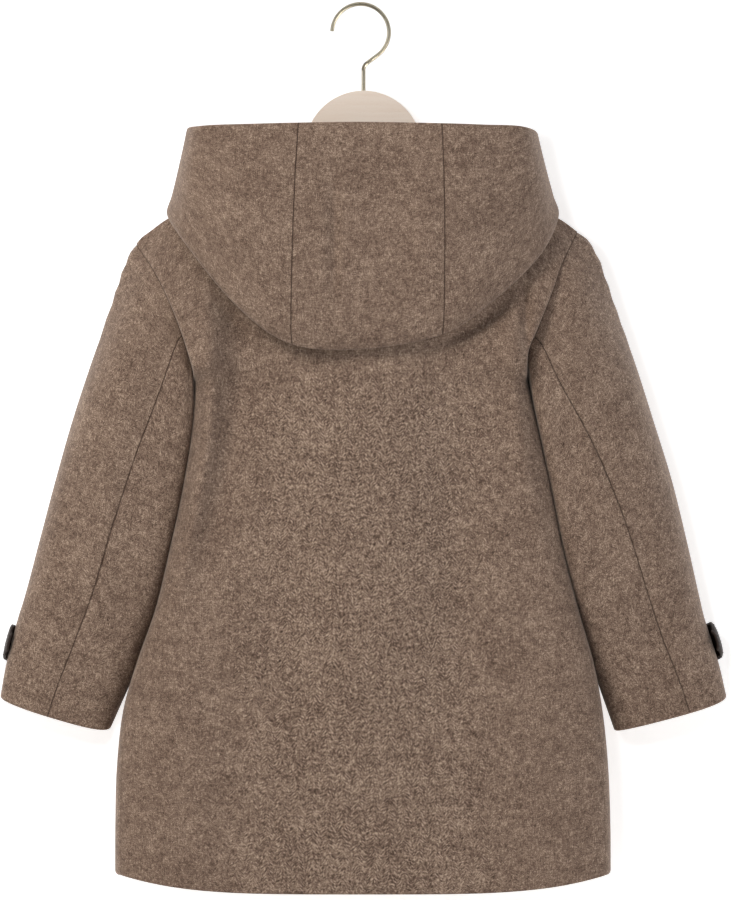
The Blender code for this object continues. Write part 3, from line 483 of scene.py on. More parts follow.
hood = {
    # it lies down the back
    # share of the way round the neck from centre back (0) over the shoulder (0.5) to the front,
    # then the folded lower outline, and the face edge
    "share": (0.00, 0.12, 0.25, 0.38, 0.50, 0.64, 0.79, 0.93),
    "fold1": (0.0000, 0.0604, 0.1050, 0.1470, 0.1645, 0.1440, 0.0950, 0.0240),
    "foldDrop1": (0.2915, 0.2876, 0.2570, 0.2060, 0.1795, 0.1930, 0.2060, 0.2040),
    "edge1": (0.0000, 0.0553, 0.1000, 0.1392, 0.1500, 0.1330, 0.0880, 0.0260),
    "edgeDrop1": (0.0979, 0.0985, 0.0997, 0.1014, 0.1048, 0.1220, 0.1550, 0.1880),
    "fold-1": (0.0000, 0.0668, 0.1088, 0.1478, 0.1636, 0.1440, 0.0950, 0.0240),
    "foldDrop-1": (0.2905, 0.2790, 0.2512, 0.2130, 0.1795, 0.1930, 0.2060, 0.2040),
    "edge-1": (0.0000, 0.0667, 0.1040, 0.1370, 0.1480, 0.1310, 0.0880, 0.0260),
    "edgeDrop-1": (0.0979, 0.0990, 0.1003, 0.1020, 0.1085, 0.1230, 0.1550, 0.1880),
    "foldY": (0.066, 0.066, 0.060, 0.042, 0.006, -0.030, -0.054, -0.061),
    "edgeY": (0.072, 0.072, 0.067, 0.053, 0.013, -0.024, -0.050, -0.060),
    "roll": (0.0075, 0.0075, 0.0070, 0.0055, 0.0025, 0.0050, 0.0050, 0.0030),
    "belly": (0.012, 0.012, 0.010, 0.003, -0.0005, 0.004, 0.003, 0.001),
    "turnsOut": (0.04, 0.36),   # from the centre back the fold faces back, and then sideways
    "seamShare": 0.12,
    "endShare": 0.93,
    "stand": 0.007,
    "standTurn": 0.0065,
    "underShares": (0.33, 0.67, 1.0),
    "wallShares": (0.0, 0.22, 0.48, 0.76, 1.0),
    "clear": 0.0018,
    "seamLift": (0.0009, 0.0022),   # over the shoulder, and at the front
    "liftsFrom": 0.6,
    "liftsOver": 0.3,
    "overStand": 0.8,
    "foldIn": 0.9,              # shares of the roll
    "foldRise": 1.1,
    "bellyPower": 0.8,
    "evenFrom": 0.40,           # past this share the columns are evened out, down to the fold
    "evenOver": 0.10,
    "evenTimes": 160,
    "evenRows": slice(1, 7),
    "creasesFrom": 7.2,         # steps down the profile, where the outer wall begins
    "creasesOver": 1.2,
    "centreSteps": 6,
    "sideSteps": 12,
    "profileSteps": 11,
}


hoodCreases = [
    # a faint upright crease left of the middle and a swelling right of it
    ((0.140, 0.165, 0.200, 0.235, 0.260), (0.0250, 0.0245, 0.0235, 0.0245, 0.0250),
     (0.0, -3.6, -5.0, -3.4, 0.0), (4.0, 6.0)),
    ((0.130, 0.180, 0.220, 0.260), (-0.0450, -0.0500, -0.0520, -0.0500),
     (0.0, 2.2, 2.8, 0.0), (16.0, 12.0)),
    ((0.120, 0.160, 0.210, 0.250), (0.0900, 0.0960, 0.0980, 0.0920),
     (0.0, 1.6, 2.0, 0.0), (22.0, 20.0)),
    ((0.110, 0.150, 0.200, 0.240), (-0.1120, -0.1080, -0.1020, -0.0960),
     (0.0, -1.1, -1.6, 0.0), (14.0, 18.0)),
    ((0.120, 0.160, 0.200), (0.1380, 0.1330, 0.1280), (0.0, -1.2, 0.0), (10.0, 8.0)),
]


def hoodValue(name, share, mirrored=False):
    # from the right front (negative) over centre back to the left front
    right = name if name in hood else name + "-1"
    left = name if name in hood else name + "1"
    places = [-s for s in hood["share"][:0:-1]] + list(hood["share"])
    values = [(-1 if mirrored else 1) * v for v in hood[right][:0:-1]] + list(hood[left])
    return softCurve(places, values, share)


def makeLift(clear):
    # moves a point of the hood off the shoulders and the back that it lies on
    vertices = []
    faces = []
    for name in ("back_panel", "front_left", "front_right"):
        mesh = nodes[name].data
        start = len(vertices)
        vertices += [v.co.copy() for v in mesh.vertices]
        faces += [[start + i for i in face.vertices] for face in mesh.polygons]
    tree = BVHTree.FromPolygons(vertices, faces)

    def lift(place):
        nearest, normal, _, _ = tree.find_nearest(Vector(place))
        height = (Vector(place) - nearest).dot(normal)
        return place if height >= clear else np.array(nearest + normal * clear)

    return lift


def hoodProfile(share, lift):
    # neck seam, stand, down the back, the fold, and up to the face edge
    side = 1 if share >= 0 else -1
    low, high = hood["seamLift"]
    risen = ease((abs(share) - hood["liftsFrom"]) / hood["liftsOver"])
    start = neckPoint(side, abs(share)) + up * blend(low, high, risen)
    roll = hoodValue("roll", share)
    fold = np.array((hoodValue("fold", share, True), hoodValue("foldY", share),
                     -hoodValue("foldDrop", share)))
    edge = np.array((hoodValue("edge", share, True), hoodValue("edgeY", share),
                     -hoodValue("edgeDrop", share)))
    fromShare, toShare = hood["turnsOut"]
    sideways = ease((abs(share) - fromShare) / (toShare - fromShare))
    out = unit(np.array((fold[0] * sideways, fold[1], 0.0)))
    over = start + up * hood["stand"] * hood["overStand"] + out * hood["standTurn"]
    foldIn = fold - out * roll * hood["foldIn"] + up * roll * hood["foldRise"]
    foldOut = fold + out * roll + up * roll * hood["foldRise"]
    under = [lift(blend(over, foldIn, t)) for t in hood["underShares"]]
    belly = hoodValue("belly", share)
    wall = [blend(foldOut, edge, t) + out * belly * math.sin(math.pi * t) ** hood["bellyPower"]
            for t in hood["wallShares"]]
    return np.array([start, start + up * hood["stand"], lift(over)] + under + [lift(fold)] + wall)


def hoodGrid(fromShare, toShare, steps, across, down, lift):
    shares = blend(fromShare, toShare, across / steps)
    profiles = np.array([hoodProfile(share, lift) for share in shares])
    # the lift pushes each column by itself, so the ones over the shoulders are evened out
    beside = np.zeros((len(across), profiles.shape[1], 1))
    evened = ease((np.abs(shares) - hood["evenFrom"]) / hood["evenOver"])
    beside[:, hood["evenRows"], 0] = evened[:, None]
    for _ in range(hood["evenTimes"]):
        soft = profiles.copy()
        soft[1:-1] = (profiles[:-2] + 2 * profiles[1:-1] + profiles[2:]) / 4
        profiles = blend(profiles, soft, beside)
    columns = []
    for profile in profiles:
        lengths = lengthsOf(profile)
        at = np.interp(down, np.arange(len(profile)), lengths)
        columns.append(np.stack([softCurve(lengths, profile[:, k], at) for k in range(3)], axis=-1))
    grid = np.array(columns).transpose(1, 0, 2)
    wall = ease((down - hood["creasesFrom"]) / hood["creasesOver"])[:, None] * (grid[..., 1] > 0)
    grid[..., 1] += wall * creaseHeight(hoodCreases, grid[..., 0], -grid[..., 2])
    return grid


cloth = {
    "thick": 0.0025,
    "seamRoll": 0.0008,         # how the wool turns down into a pressed-open seam
    "hemRoll": 0.0017,          # a turned edge is round and two layers thick
    "hemDepth": 0.028,
    "hemExtra": 0.0020,
    "hemStep": 0.002,           # in which a hem's second layer ends
    # how far from a seam the painted shade in its groove reaches
    "seamShade": 0.0005,
    "sideSeamShows": 0.25,      # the side seams are pressed flatter than the others, so their groove and its painted shade are fainter
    "sideSeamFades": (0.360, 0.460),
    # where the nap is worn and the twill shows: from which drop, and how far from the middle
    "wornFrom": (0.270, 0.360),
    "wornHalf": 0.110,
    "joinWithin": 0.004,
    "meetWithin": 0.003,
    "worn": {"back": 1.0, "front": 0.5, "sleeve": 0.15},
    "uvShift": (0.37, 0.21),    # metres from one piece's grain to the next one's
    "fine": (0.0, 0.00012, 0.0003, 0.0006, 0.0010, 0.0015, 0.0022, 0.0034, 0.0052, 0.0080),
    # rows of faces in each step of a pattern, and the metres in its first and last step
    "rows": {
        "backAcross": (7, 0.020),
        "frontAcross": (8, 0.020, 0.026),
        "bodyDown": (8, 0.014, 0.0387),
        "topAcross": (5, 0.013, 0.013),
        "underAcross": (6, 0.010, 0.010),
        "sleeveDown": (10, 0.016, 0.036),
        "hoodAcross": (8, 0.021, 0.021),
        "hoodDown": (9, 0.007, 0.045),
        "tabAlong": (60, 0.075, 0.075),
        "tabAcross": (24, 0.034, 0.034),
    },
}


def fineSteps(last, name):
    # even steps, closer together where an edge is rounded
    each, startSpan, endSpan = (*cloth["rows"][name], 0.0)[:3]
    steps = np.linspace(0, last, last * each + 1)
    low = np.array(cloth["fine"]) / startSpan if startSpan else np.array([0.0])
    high = last - np.array(cloth["fine"][::-1]) / endSpan if endSpan else np.array([float(last)])
    half = 0.5 / each
    middle = steps[(steps > low[-1] + half) & (steps < high[0] - half)]
    return np.concatenate((low, middle, high))


def lengthsAlong(grid, axis):
    steps = np.linalg.norm(np.diff(grid, axis=axis), axis=-1)
    start = np.zeros_like(np.take(steps, [0], axis=axis))
    return np.concatenate((start, np.cumsum(steps, axis=axis)), axis=axis)


def normalsOf(grid, facing):
    across = np.gradient(grid, axis=1)
    down = np.gradient(grid, axis=0)
    normals = np.cross(across, down) * facing
    return normals / np.maximum(np.linalg.norm(normals, axis=-1, keepdims=True), 1e-12)


def roundOver(distance, radius):
    inside = np.clip(radius - distance, 0, radius)
    return radius - np.sqrt(radius ** 2 - inside ** 2)


def shellObject(name, outer, inner, facing, uv, marks):
    # outer and inner walls and the edges between them, as one closed mesh
    rows, columns = outer.shape[:2]
    count = rows * columns
    index = np.arange(count).reshape(rows, columns)
    quads = np.stack((index[:-1, :-1], index[:-1, 1:], index[1:, 1:], index[1:, :-1]), axis=-1)
    quads = quads.reshape(-1, 4)
    loop = np.concatenate((index[0, :-1], index[:-1, -1], index[-1, :0:-1], index[:0:-1, 0]))
    ahead = np.roll(loop, -1)
    rim = np.stack((ahead, loop, loop + count, ahead + count), axis=-1)
    faces = np.concatenate((quads, quads[:, ::-1] + count, rim))
    if facing < 0:
        faces = faces[:, ::-1]
    vertices = np.concatenate((outer.reshape(-1, 3), inner.reshape(-1, 3)))
    mesh = bpy.data.meshes.new(name)
    mesh.vertices.add(len(vertices))
    mesh.vertices.foreach_set("co", vertices.astype(np.float32).ravel())
    mesh.loops.add(faces.size)
    mesh.loops.foreach_set("vertex_index", faces.astype(np.int32).ravel())
    mesh.polygons.add(len(faces))
    mesh.polygons.foreach_set("loop_start", np.arange(0, faces.size, 4, dtype=np.int32))
    mesh.update(calc_edges=True)
    both = np.concatenate((uv.reshape(-1, 2), uv.reshape(-1, 2)))
    layer = mesh.uv_layers.new(name="clothUV")
    layer.data.foreach_set("uv", both[faces.ravel()].astype(np.float32).ravel())
    for markName, values in marks.items():
        made = mesh.attributes.new(markName, "FLOAT", "POINT")
        both = np.concatenate((values.ravel(), values.ravel()))
        made.data.foreach_set("value", both.astype(np.float32))
    mesh.shade_smooth()
    thing = bpy.data.objects.new(name, mesh)
    bpy.context.collection.objects.link(thing)
    return thing


def finishPiece(piece, nodeName, material):
    piece.data.materials.clear()
    piece.data.materials.append(material)
    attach(piece, "root")
    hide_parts(nodeName)


pieces = []


def cutPiece(name, nodeName, grid, facing, edges, grain, worn=0.0):
    # one pattern piece before it is sewn; grain is the column that the straight grain runs along
    across = lengthsAlong(grid, 1)
    down = lengthsAlong(grid, 0)
    distances = {"left": across, "right": across[:, -1:] - across,
                 "top": down, "bottom": down[-1:] - down}

    def nearest(wanted):
        # how far each point is from the piece's nearest edge of the wanted kind
        found = [distances[edge] for edge, kind in edges.items() if kind == wanted]
        return np.minimum.reduce([np.ones(across.shape)] + found)

    drop = -grid[..., 2]
    sewn = np.ones(across.shape)
    if name in ("backPanel", "leftFront", "rightFront"):
        low, high = cloth["sideSeamFades"]
        sewn = blend(1.0, cloth["sideSeamShows"], ease((drop - low) / (high - low)))
        low, high = cloth["wornFrom"]
        middle = np.exp(-((grid[..., 0] / cloth["wornHalf"]) ** 4))
        worn = worn * ease((drop - low) / (high - low)) * middle
    pieces.append({
        "sewn": sewn, "worn": np.broadcast_to(worn, across.shape),
        "name": name, "node": nodeName, "grid": grid, "facing": facing, "grain": grain,
        "across": across, "down": down, "normals": normalsOf(grid, facing),
        "seam": nearest("seam"), "hem": nearest("hem")})


def joinNormals():
    # both sides of a seam turn in the same way, so that no gap opens between them
    places = np.concatenate([piece["grid"][piece["seam"] == 0] for piece in pieces])
    normals = np.concatenate([piece["normals"][piece["seam"] == 0] for piece in pieces])
    owners = np.concatenate([np.full((piece["seam"] == 0).sum(), i)
                             for i, piece in enumerate(pieces)])
    trees = []
    for i in range(len(pieces)):
        others = np.nonzero(owners != i)[0]
        tree = KDTree(len(others))
        for j in others:
            tree.insert(places[j], int(j))
        tree.balance()
        trees.append(tree)
    for i, piece in enumerate(pieces):
        near = np.argwhere(piece["seam"] < cloth["joinWithin"])
        edge = np.argwhere(piece["seam"] == 0)
        meeting = {}
        for row, column in edge:
            _, j, distance = trees[i].find(piece["grid"][row, column])
            if distance < cloth["meetWithin"]:
                meeting[(row, column)] = normals[j] + piece["normals"][row, column]
        if not meeting:
            continue
        tree = KDTree(len(meeting))
        for k, (row, column) in enumerate(meeting):
            tree.insert(piece["grid"][row, column], k)
        tree.balance()
        sums = list(meeting.values())
        made = piece["normals"].copy()
        for row, column in near:
            _, k, distance = tree.find(piece["grid"][row, column])
            weight = 1 - float(ease(distance / cloth["joinWithin"]))
            if weight > 0:
                own = piece["normals"][row, column]
                made[row, column] = unit(blend(own, unit(sums[k]), weight))
        piece["normals"] = made


def sewPiece(piece, number):
    grid, normals, seam, hem = (piece[key] for key in ("grid", "normals", "seam", "hem"))
    turned = roundOver(hem, cloth["hemRoll"])
    rolled = np.maximum(roundOver(seam, cloth["seamRoll"]) * piece["sewn"], turned)
    single = ease((hem - cloth["hemDepth"]) / cloth["hemStep"])
    thick = cloth["thick"] + cloth["hemExtra"] * (1 - single)
    outer = grid - normals * rolled[..., None]
    inner = grid - normals * (thick - turned)[..., None]
    grain = piece["grain"]
    across = piece["across"] - piece["across"][:, grain:grain + 1]
    down = np.broadcast_to(piece["down"][:, grain:grain + 1], across.shape)
    shiftAcross, shiftDown = cloth["uvShift"]
    uv = np.stack((across + shiftAcross * number, down + shiftDown * number), axis=-1)
    # a seam's groove also gets painted shade, strongest at the seam and gone within about a
    # millimetre
    marks = {"seamGrooveShade": np.exp(-((seam / cloth["seamShade"]) ** 2)) * piece["sewn"],
             "napWorn": piece["worn"]}
    made = shellObject(piece["name"], outer, inner, piece["facing"], uv, marks)
    finishPiece(made, piece["node"], wool)
    print(piece["name"], "sewn,", len(made.data.polygons), "faces,",
          round(float(np.ptp(across)), 3), "x", round(float(np.ptp(piece["down"])), 3), "m, area",
          round(sum(face.area for face in made.data.polygons) / 2, 4))


def linearColour(code):
    values = [int(code[i:i + 2], 16) / 255 for i in (0, 2, 4)]
    return (*[v / 12.92 if v <= 0.04045 else ((v + 0.055) / 1.055) ** 2.4 for v in values], 1.0)


def addNode(tree, kind, settings=None, links=None):
    made = tree.nodes.new(kind)
    for name, value in (settings or {}).items():
        setattr(made, name, value)
    for name, value in (links or {}).items():
        if isinstance(value, bpy.types.NodeSocket):
            tree.links.new(value, made.inputs[name])
        else:
            made.inputs[name].default_value = value
    return made


def newMaterial(name, sockets):
    made = bpy.data.materials.new(name)
    made.use_nodes = True
    shader = made.node_tree.nodes["Principled BSDF"]
    for socket, value in sockets.items():
        shader.inputs[socket].default_value = value
    return made, made.node_tree, shader


def dress(tree, shader, links):
    # what the finished patterns drive on the shader
    for socket, value in links.items():
        tree.links.new(value, shader.inputs[socket])


woolLook = {
    "dark": "3d2e25",
    "middle": "7a6557",
    "light": "bda793",
    # the colour of the painted shade in a seam's groove
    "seam": "342015",
    "walePitch": 2.0,           # mm between the twill's diagonal lines
    "columnWidth": 6.5,         # mm across one column of the herringbone
    "columnEdge": 0.45,         # how softly one column gives way to the next
    "driftScale": 0.11,         # the weave wanders in patches 9 mm wide,
    "driftBy": 7.0,             # by up to this many mm
    "wale": (0.02, 0.09),       # where the nap is full, and where it is worn
    "yarns": (0.45, 1.35),
    "bump": 0.0005,
    # each layer: mm across and along, and how much it counts; the yarns lie along the twill
    "yarnLayers": ((0.85, 4.40, 1.25), (0.60, 2.60, 1.30)),
    "feltLayers": (
        (0.85, 0.85, 0.90),     # single light and dark fibres, as coarse as shows
        (0.85, 4.80, 0.68),
        (4.80, 0.85, 0.52),
        (2.60, 2.60, 0.52),     # flecks
        (8.50, 9.50, 0.50),     # mottling from the milling
        (42.0, 38.0, 0.26),
    ),
}


def grainLayer(tree, place, across, along, turn, number, strength, below):
    # streaks of noise, measured in mm and turned in degrees, added to what is below
    laid = addNode(tree, "ShaderNodeMapping", {"vector_type": "TEXTURE"}, {
        "Vector": place, "Location": (11.0 * number, 7.0 * number, 0.0),
        "Rotation": (0.0, 0.0, math.radians(turn)), "Scale": (across, along, 1.0)})
    grain = addNode(tree, "ShaderNodeTexNoise", {}, {
        "Vector": laid.outputs[0], "Scale": 1.0, "Detail": 1.5, "Roughness": 0.5})
    level = addNode(tree, "ShaderNodeMath", {"operation": "SUBTRACT"}, {
        0: grain.outputs["Fac"], 1: 0.5})
    return addNode(tree, "ShaderNodeMath", {"operation": "MULTIPLY_ADD"}, {
        0: level.outputs[0], 1: strength, 2: below}).outputs[0]


def makeWool():
    # Wool coating woven as a herringbone twill from mixed light and dark fibres, then milled and
    # brushed: the nap hides most of the weave, and the eye sees flecks, mottling and no gloss.
    look = woolLook
    material, tree, shader = newMaterial("milledMelangeWoolTwill", {
        "Roughness": 0.92, "IOR": 1.54, "Specular IOR Level": 0.2,
        "Sheen Weight": 0.5, "Sheen Roughness": 0.4, "Sheen Tint": linearColour("cfc4ba")})
    place = addNode(tree, "ShaderNodeUVMap", {"uv_map": "clothUV"})
    mm = addNode(tree, "ShaderNodeVectorMath", {"operation": "SCALE"}, {
        0: place.outputs[0], "Scale": 1000.0})
    drift = addNode(tree, "ShaderNodeTexNoise", {}, {
        "Vector": mm.outputs[0], "Scale": look["driftScale"], "Detail": 2.0})
    drifted = addNode(tree, "ShaderNodeVectorMath", {"operation": "MULTIPLY_ADD"}, {
        0: drift.outputs["Color"], 1: (look["driftBy"], look["driftBy"], 0.0), 2: mm.outputs[0]})
    # the twill rises in one column and falls in the next, with wandering borders
    parts = addNode(tree, "ShaderNodeSeparateXYZ", {}, {0: drifted.outputs[0]})
    column = addNode(tree, "ShaderNodeMath", {"operation": "MULTIPLY"}, {
        0: parts.outputs[0], 1: math.pi / look["columnWidth"]})
    swing = addNode(tree, "ShaderNodeMath", {"operation": "SINE"}, {0: column.outputs[0]})
    rises = addNode(tree, "ShaderNodeMapRange", {"interpolation_type": "SMOOTHSTEP"}, {
        0: swing.outputs[0], 1: -look["columnEdge"], 2: look["columnEdge"]})
    worn = addNode(tree, "ShaderNodeAttribute", {"attribute_name": "napWorn"})
    waleShows = addNode(tree, "ShaderNodeMapRange", {}, {
        0: worn.outputs["Fac"], 3: look["wale"][0], 4: look["wale"][1]})
    yarnShows = addNode(tree, "ShaderNodeMapRange", {}, {
        0: worn.outputs["Fac"], 3: look["yarns"][0], 4: look["yarns"][1]})
    slopes = []
    for number, turn in enumerate((45.0, -45.0)):
        turned = addNode(tree, "ShaderNodeMapping", {"vector_type": "TEXTURE"}, {
            "Vector": drifted.outputs[0], "Rotation": (0.0, 0.0, math.radians(turn)),
            "Scale": (look["walePitch"] / (2 * math.pi), 1.0, 1.0)})
        lines = addNode(tree, "ShaderNodeSeparateXYZ", {}, {0: turned.outputs[0]})
        wave = addNode(tree, "ShaderNodeMath", {"operation": "SINE"}, {0: lines.outputs[0]})
        wale = addNode(tree, "ShaderNodeMath", {"operation": "MULTIPLY"}, {
            0: wave.outputs[0], 1: waleShows.outputs[0]})
        yarns = 0.0
        for layer, (across, along, strength) in enumerate(look["yarnLayers"]):
            yarns = grainLayer(tree, mm.outputs[0], across, along, turn, 3 * number + layer,
                               strength, yarns)
        slopes.append(addNode(tree, "ShaderNodeMath", {"operation": "MULTIPLY_ADD"}, {
            0: yarns, 1: yarnShows.outputs[0], 2: wale.outputs[0]}).outputs[0])
    total = addNode(tree, "ShaderNodeMix", {"data_type": "FLOAT"}, {
        0: rises.outputs[0], 2: slopes[0], 3: slopes[1]}).outputs[0]
    for layer, (across, along, strength) in enumerate(look["feltLayers"]):
        total = grainLayer(tree, mm.outputs[0], across, along, 0.0, 7 + layer, strength, total)
    tone = addNode(tree, "ShaderNodeMath", {"operation": "ADD"}, {0: total, 1: 0.5})
    ramp = addNode(tree, "ShaderNodeValToRGB", {}, {0: tone.outputs[0]})
    ramp.color_ramp.elements[0].color = linearColour(look["dark"])
    ramp.color_ramp.elements[1].color = linearColour(look["light"])
    ramp.color_ramp.elements.new(0.5).color = linearColour(look["middle"])
    # painted shade along each seam's groove, stronger in some places than in others
    line = addNode(tree, "ShaderNodeAttribute", {"attribute_name": "seamGrooveShade"})
    uneven = addNode(tree, "ShaderNodeMapRange", {}, {
        0: drift.outputs["Fac"], 1: 0.3, 2: 0.6, 3: 0.55, 4: 1.0})
    seamShare = addNode(tree, "ShaderNodeMath", {"operation": "MULTIPLY"}, {
        0: line.outputs["Fac"], 1: uneven.outputs[0]})
    seamShaded = addNode(tree, "ShaderNodeMix", {"data_type": "RGBA"}, {
        0: seamShare.outputs[0], 6: ramp.outputs[0], 7: linearColour(look["seam"])})
    bump = addNode(tree, "ShaderNodeBump", {}, {
        "Strength": 0.4, "Distance": look["bump"], "Height": total})
    dress(tree, shader, {"Base Color": seamShaded.outputs[2], "Normal": bump.outputs[0]})
    return material


wool = makeWool()
print("wool ready")

# the kind of each edge of a cut: sewn into a seam, or turned up as a hem at the bottom
sewnEdges = {"left": "seam", "right": "seam", "top": "seam", "bottom": "hem"}


def bodyRows():
    return fineSteps(body["armholeSteps"] + body["sideSteps"], "bodyDown")


def cutBack():
    across = fineSteps(body["acrossSteps"], "backAcross")
    down = bodyRows()
    left = halfBody(1, 1, across, down)
    right = halfBody(-1, 1, across, down)
    middle = (left[:, -1:] + right[:, -1:]) / 2
    grid = np.concatenate((left[:, :-1], middle, right[:, -2::-1]), axis=1)
    cutPiece("backPanel", "back_panel", grid, -1, sewnEdges, left.shape[1] - 1,
             cloth["worn"]["back"])


def cutFronts():
    down = bodyRows()
    across = fineSteps(body["acrossSteps"], "frontAcross")
    edges = dict(sewnEdges, right="hem")
    for side, word, facing in ((1, "left", 1), (-1, "right", -1)):
        grid = halfBody(side, -1, across, down)
        cutPiece(word + "Front", "front_" + word, grid, facing, edges, grid.shape[1] - 1,
                 cloth["worn"]["front"])


def cutSleeves():
    down = fineSteps(sleeve["rows"], "sleeveDown")
    for side, word in ((1, "left"), (-1, "right")):
        for part in ("top", "under"):
            across = fineSteps(sleeve[part + "Steps"], part + "Across")
            grid = sleeveGrid(side, part, across, down)
            cutPiece(word + part.capitalize() + "Sleeve", "sleeve_%s_%s" % (word, part), grid,
                     -side, sewnEdges, len(across) // 2, cloth["worn"]["sleeve"])


def cutHood():
    lift = makeLift(hood["clear"])
    down = fineSteps(hood["profileSteps"], "hoodDown")
    seam = hood["seamShare"]
    end = hood["endShare"]
    # word, the shares it runs between, its steps, its free edge and where its grain lies
    parts = (("left", end, seam, hood["sideSteps"], {"left": "hem"}, 1.0),
             ("centre", seam, -seam, hood["centreSteps"], {}, 0.5),
             ("right", -seam, -end, hood["sideSteps"], {"right": "hem"}, 0.0))
    for word, start, stop, steps, freeEdge, grainShare in parts:
        across = fineSteps(steps, "hoodAcross")
        grid = hoodGrid(start, stop, steps, across, down, lift)
        cutPiece("hood" + word.capitalize(), "hood_" + word, grid, 1, {**sewnEdges, **freeEdge},
                 int(grainShare * (len(across) - 1)))


cutBack()
cutFronts()
cutSleeves()
cutHood()
print("cloth cut,", len(pieces), "pieces")
joinNormals()
for number, piece in enumerate(pieces):
    sewPiece(piece, number)
print("cloth done")


def makeLeather():
    # Vegetable-tanned calf strap, dyed dark brown: a satin skin over fine pores and creases.
    material, tree, shader = newMaterial("dyedCalfLeather", {
        "Roughness": 0.56, "IOR": 1.5, "Specular IOR Level": 0.3})
    place = addNode(tree, "ShaderNodeTexCoord")
    pores = addNode(tree, "ShaderNodeTexVoronoi", {"feature": "F1"}, {
        "Vector": place.outputs["Object"], "Scale": 1100.0})      # pores 0.9 mm apart
    creases = addNode(tree, "ShaderNodeTexNoise", {}, {
        "Vector": place.outputs["Object"], "Scale": 260.0, "Detail": 6.0, "Roughness": 0.65})
    worn = addNode(tree, "ShaderNodeMix", {"data_type": "RGBA"}, {
        0: creases.outputs["Fac"], 6: linearColour("170f0c"), 7: linearColour("35271f")})
    height = addNode(tree, "ShaderNodeMath", {"operation": "MULTIPLY_ADD"}, {
        0: pores.outputs["Distance"], 1: 0.5, 2: creases.outputs["Fac"]})
    bump = addNode(tree, "ShaderNodeBump", {}, {
        "Strength": 0.35, "Distance": 0.0003, "Height": height.outputs[0]})
    dress(tree, shader, {"Base Color": worn.outputs[2], "Normal": bump.outputs[0]})
    return material


def makeThread(name, dark, light):
    # Waxed polyester sewing thread, two plies: a slight gloss and a twist that shows as bands.
    material, tree, shader = newMaterial(name, {"Roughness": 0.55})
    place = addNode(tree, "ShaderNodeTexCoord")
    plies = addNode(tree, "ShaderNodeTexNoise", {}, {
        "Vector": place.outputs["Object"], "Scale": 2200.0, "Detail": 1.0})
    mixed = addNode(tree, "ShaderNodeMix", {"data_type": "RGBA"}, {
        0: plies.outputs["Fac"], 6: linearColour(dark), 7: linearColour(light)})
    bump = addNode(tree, "ShaderNodeBump", {}, {
        "Strength": 0.4, "Distance": 0.0002, "Height": plies.outputs["Fac"]})
    dress(tree, shader, {"Base Color": mixed.outputs[2], "Normal": bump.outputs[0]})
    return material


def makeButtonResin():
    # Cast polyester resin in imitation of horn, turned and tumbled: cloudy brown under a soft
    # gloss.
    material, tree, shader = newMaterial("castHornResin", {"IOR": 1.54})
    place = addNode(tree, "ShaderNodeTexCoord")
    streaks = addNode(tree, "ShaderNodeMapping", {}, {
        "Vector": place.outputs["Object"], "Rotation": (0.3, 0.0, 0.5),
        "Scale": (60.0, 60.0, 210.0)})                            # clouds 17 x 5 mm
    clouds = addNode(tree, "ShaderNodeTexNoise", {}, {
        "Vector": streaks.outputs[0], "Scale": 1.0, "Detail": 5.0, "Distortion": 0.6})
    ramp = addNode(tree, "ShaderNodeValToRGB", {}, {0: clouds.outputs["Fac"]})
    ramp.color_ramp.elements[0].position = 0.3
    ramp.color_ramp.elements[0].color = linearColour("1d130e")
    ramp.color_ramp.elements[1].position = 0.75
    ramp.color_ramp.elements[1].color = linearColour("57402f")
    scuffs = addNode(tree, "ShaderNodeMapRange", {}, {0: clouds.outputs["Fac"], 3: 0.24, 4: 0.42})
    dress(tree, shader, {"Base Color": ramp.outputs[0], "Roughness": scuffs.outputs[0]})
    return material


def makeBeech():
    # Beech, planed, sanded and left nearly bare: pale, with faint grain along the board and
    # the short darker flecks that beech has.
    material, tree, shader = newMaterial("sandedBeech", {
        "Roughness": 0.58, "IOR": 1.5, "Specular IOR Level": 0.3})
    place = addNode(tree, "ShaderNodeTexCoord")
    along = addNode(tree, "ShaderNodeMapping", {}, {
        "Vector": place.outputs["Object"], "Rotation": (0.0, 0.06, 0.0),
        "Scale": (9.0, 60.0, 150.0)})                             # grain 7 mm wide, 110 mm long
    rings = addNode(tree, "ShaderNodeTexNoise", {}, {
        "Vector": along.outputs[0], "Scale": 1.0, "Detail": 5.0, "Roughness": 0.55,
        "Distortion": 0.4})
    short = addNode(tree, "ShaderNodeMapping", {}, {
        "Vector": place.outputs["Object"], "Scale": (330.0, 900.0, 1400.0)})   # flecks 3 x 0.7 mm
    flecks = addNode(tree, "ShaderNodeTexNoise", {}, {
        "Vector": short.outputs[0], "Scale": 1.0, "Detail": 1.0})
    dots = addNode(tree, "ShaderNodeMapRange", {}, {
        0: flecks.outputs["Fac"], 1: 0.62, 2: 0.72, 3: 0.0, 4: 0.14})
    wood = addNode(tree, "ShaderNodeValToRGB", {}, {0: rings.outputs["Fac"]})
    wood.color_ramp.elements[0].position = 0.3
    wood.color_ramp.elements[0].color = linearColour("f5e4d3")
    wood.color_ramp.elements[1].position = 0.7
    wood.color_ramp.elements[1].color = linearColour("fdf2e6")
    flecked = addNode(tree, "ShaderNodeMix", {"data_type": "RGBA"}, {
        0: dots.outputs[0], 6: wood.outputs[0], 7: linearColour("dcc8b2")})
    bump = addNode(tree, "ShaderNodeBump", {}, {
        "Strength": 0.12, "Distance": 0.0002, "Height": rings.outputs["Fac"]})
    dress(tree, shader, {"Base Color": flecked.outputs[2], "Normal": bump.outputs[0]})
    return material


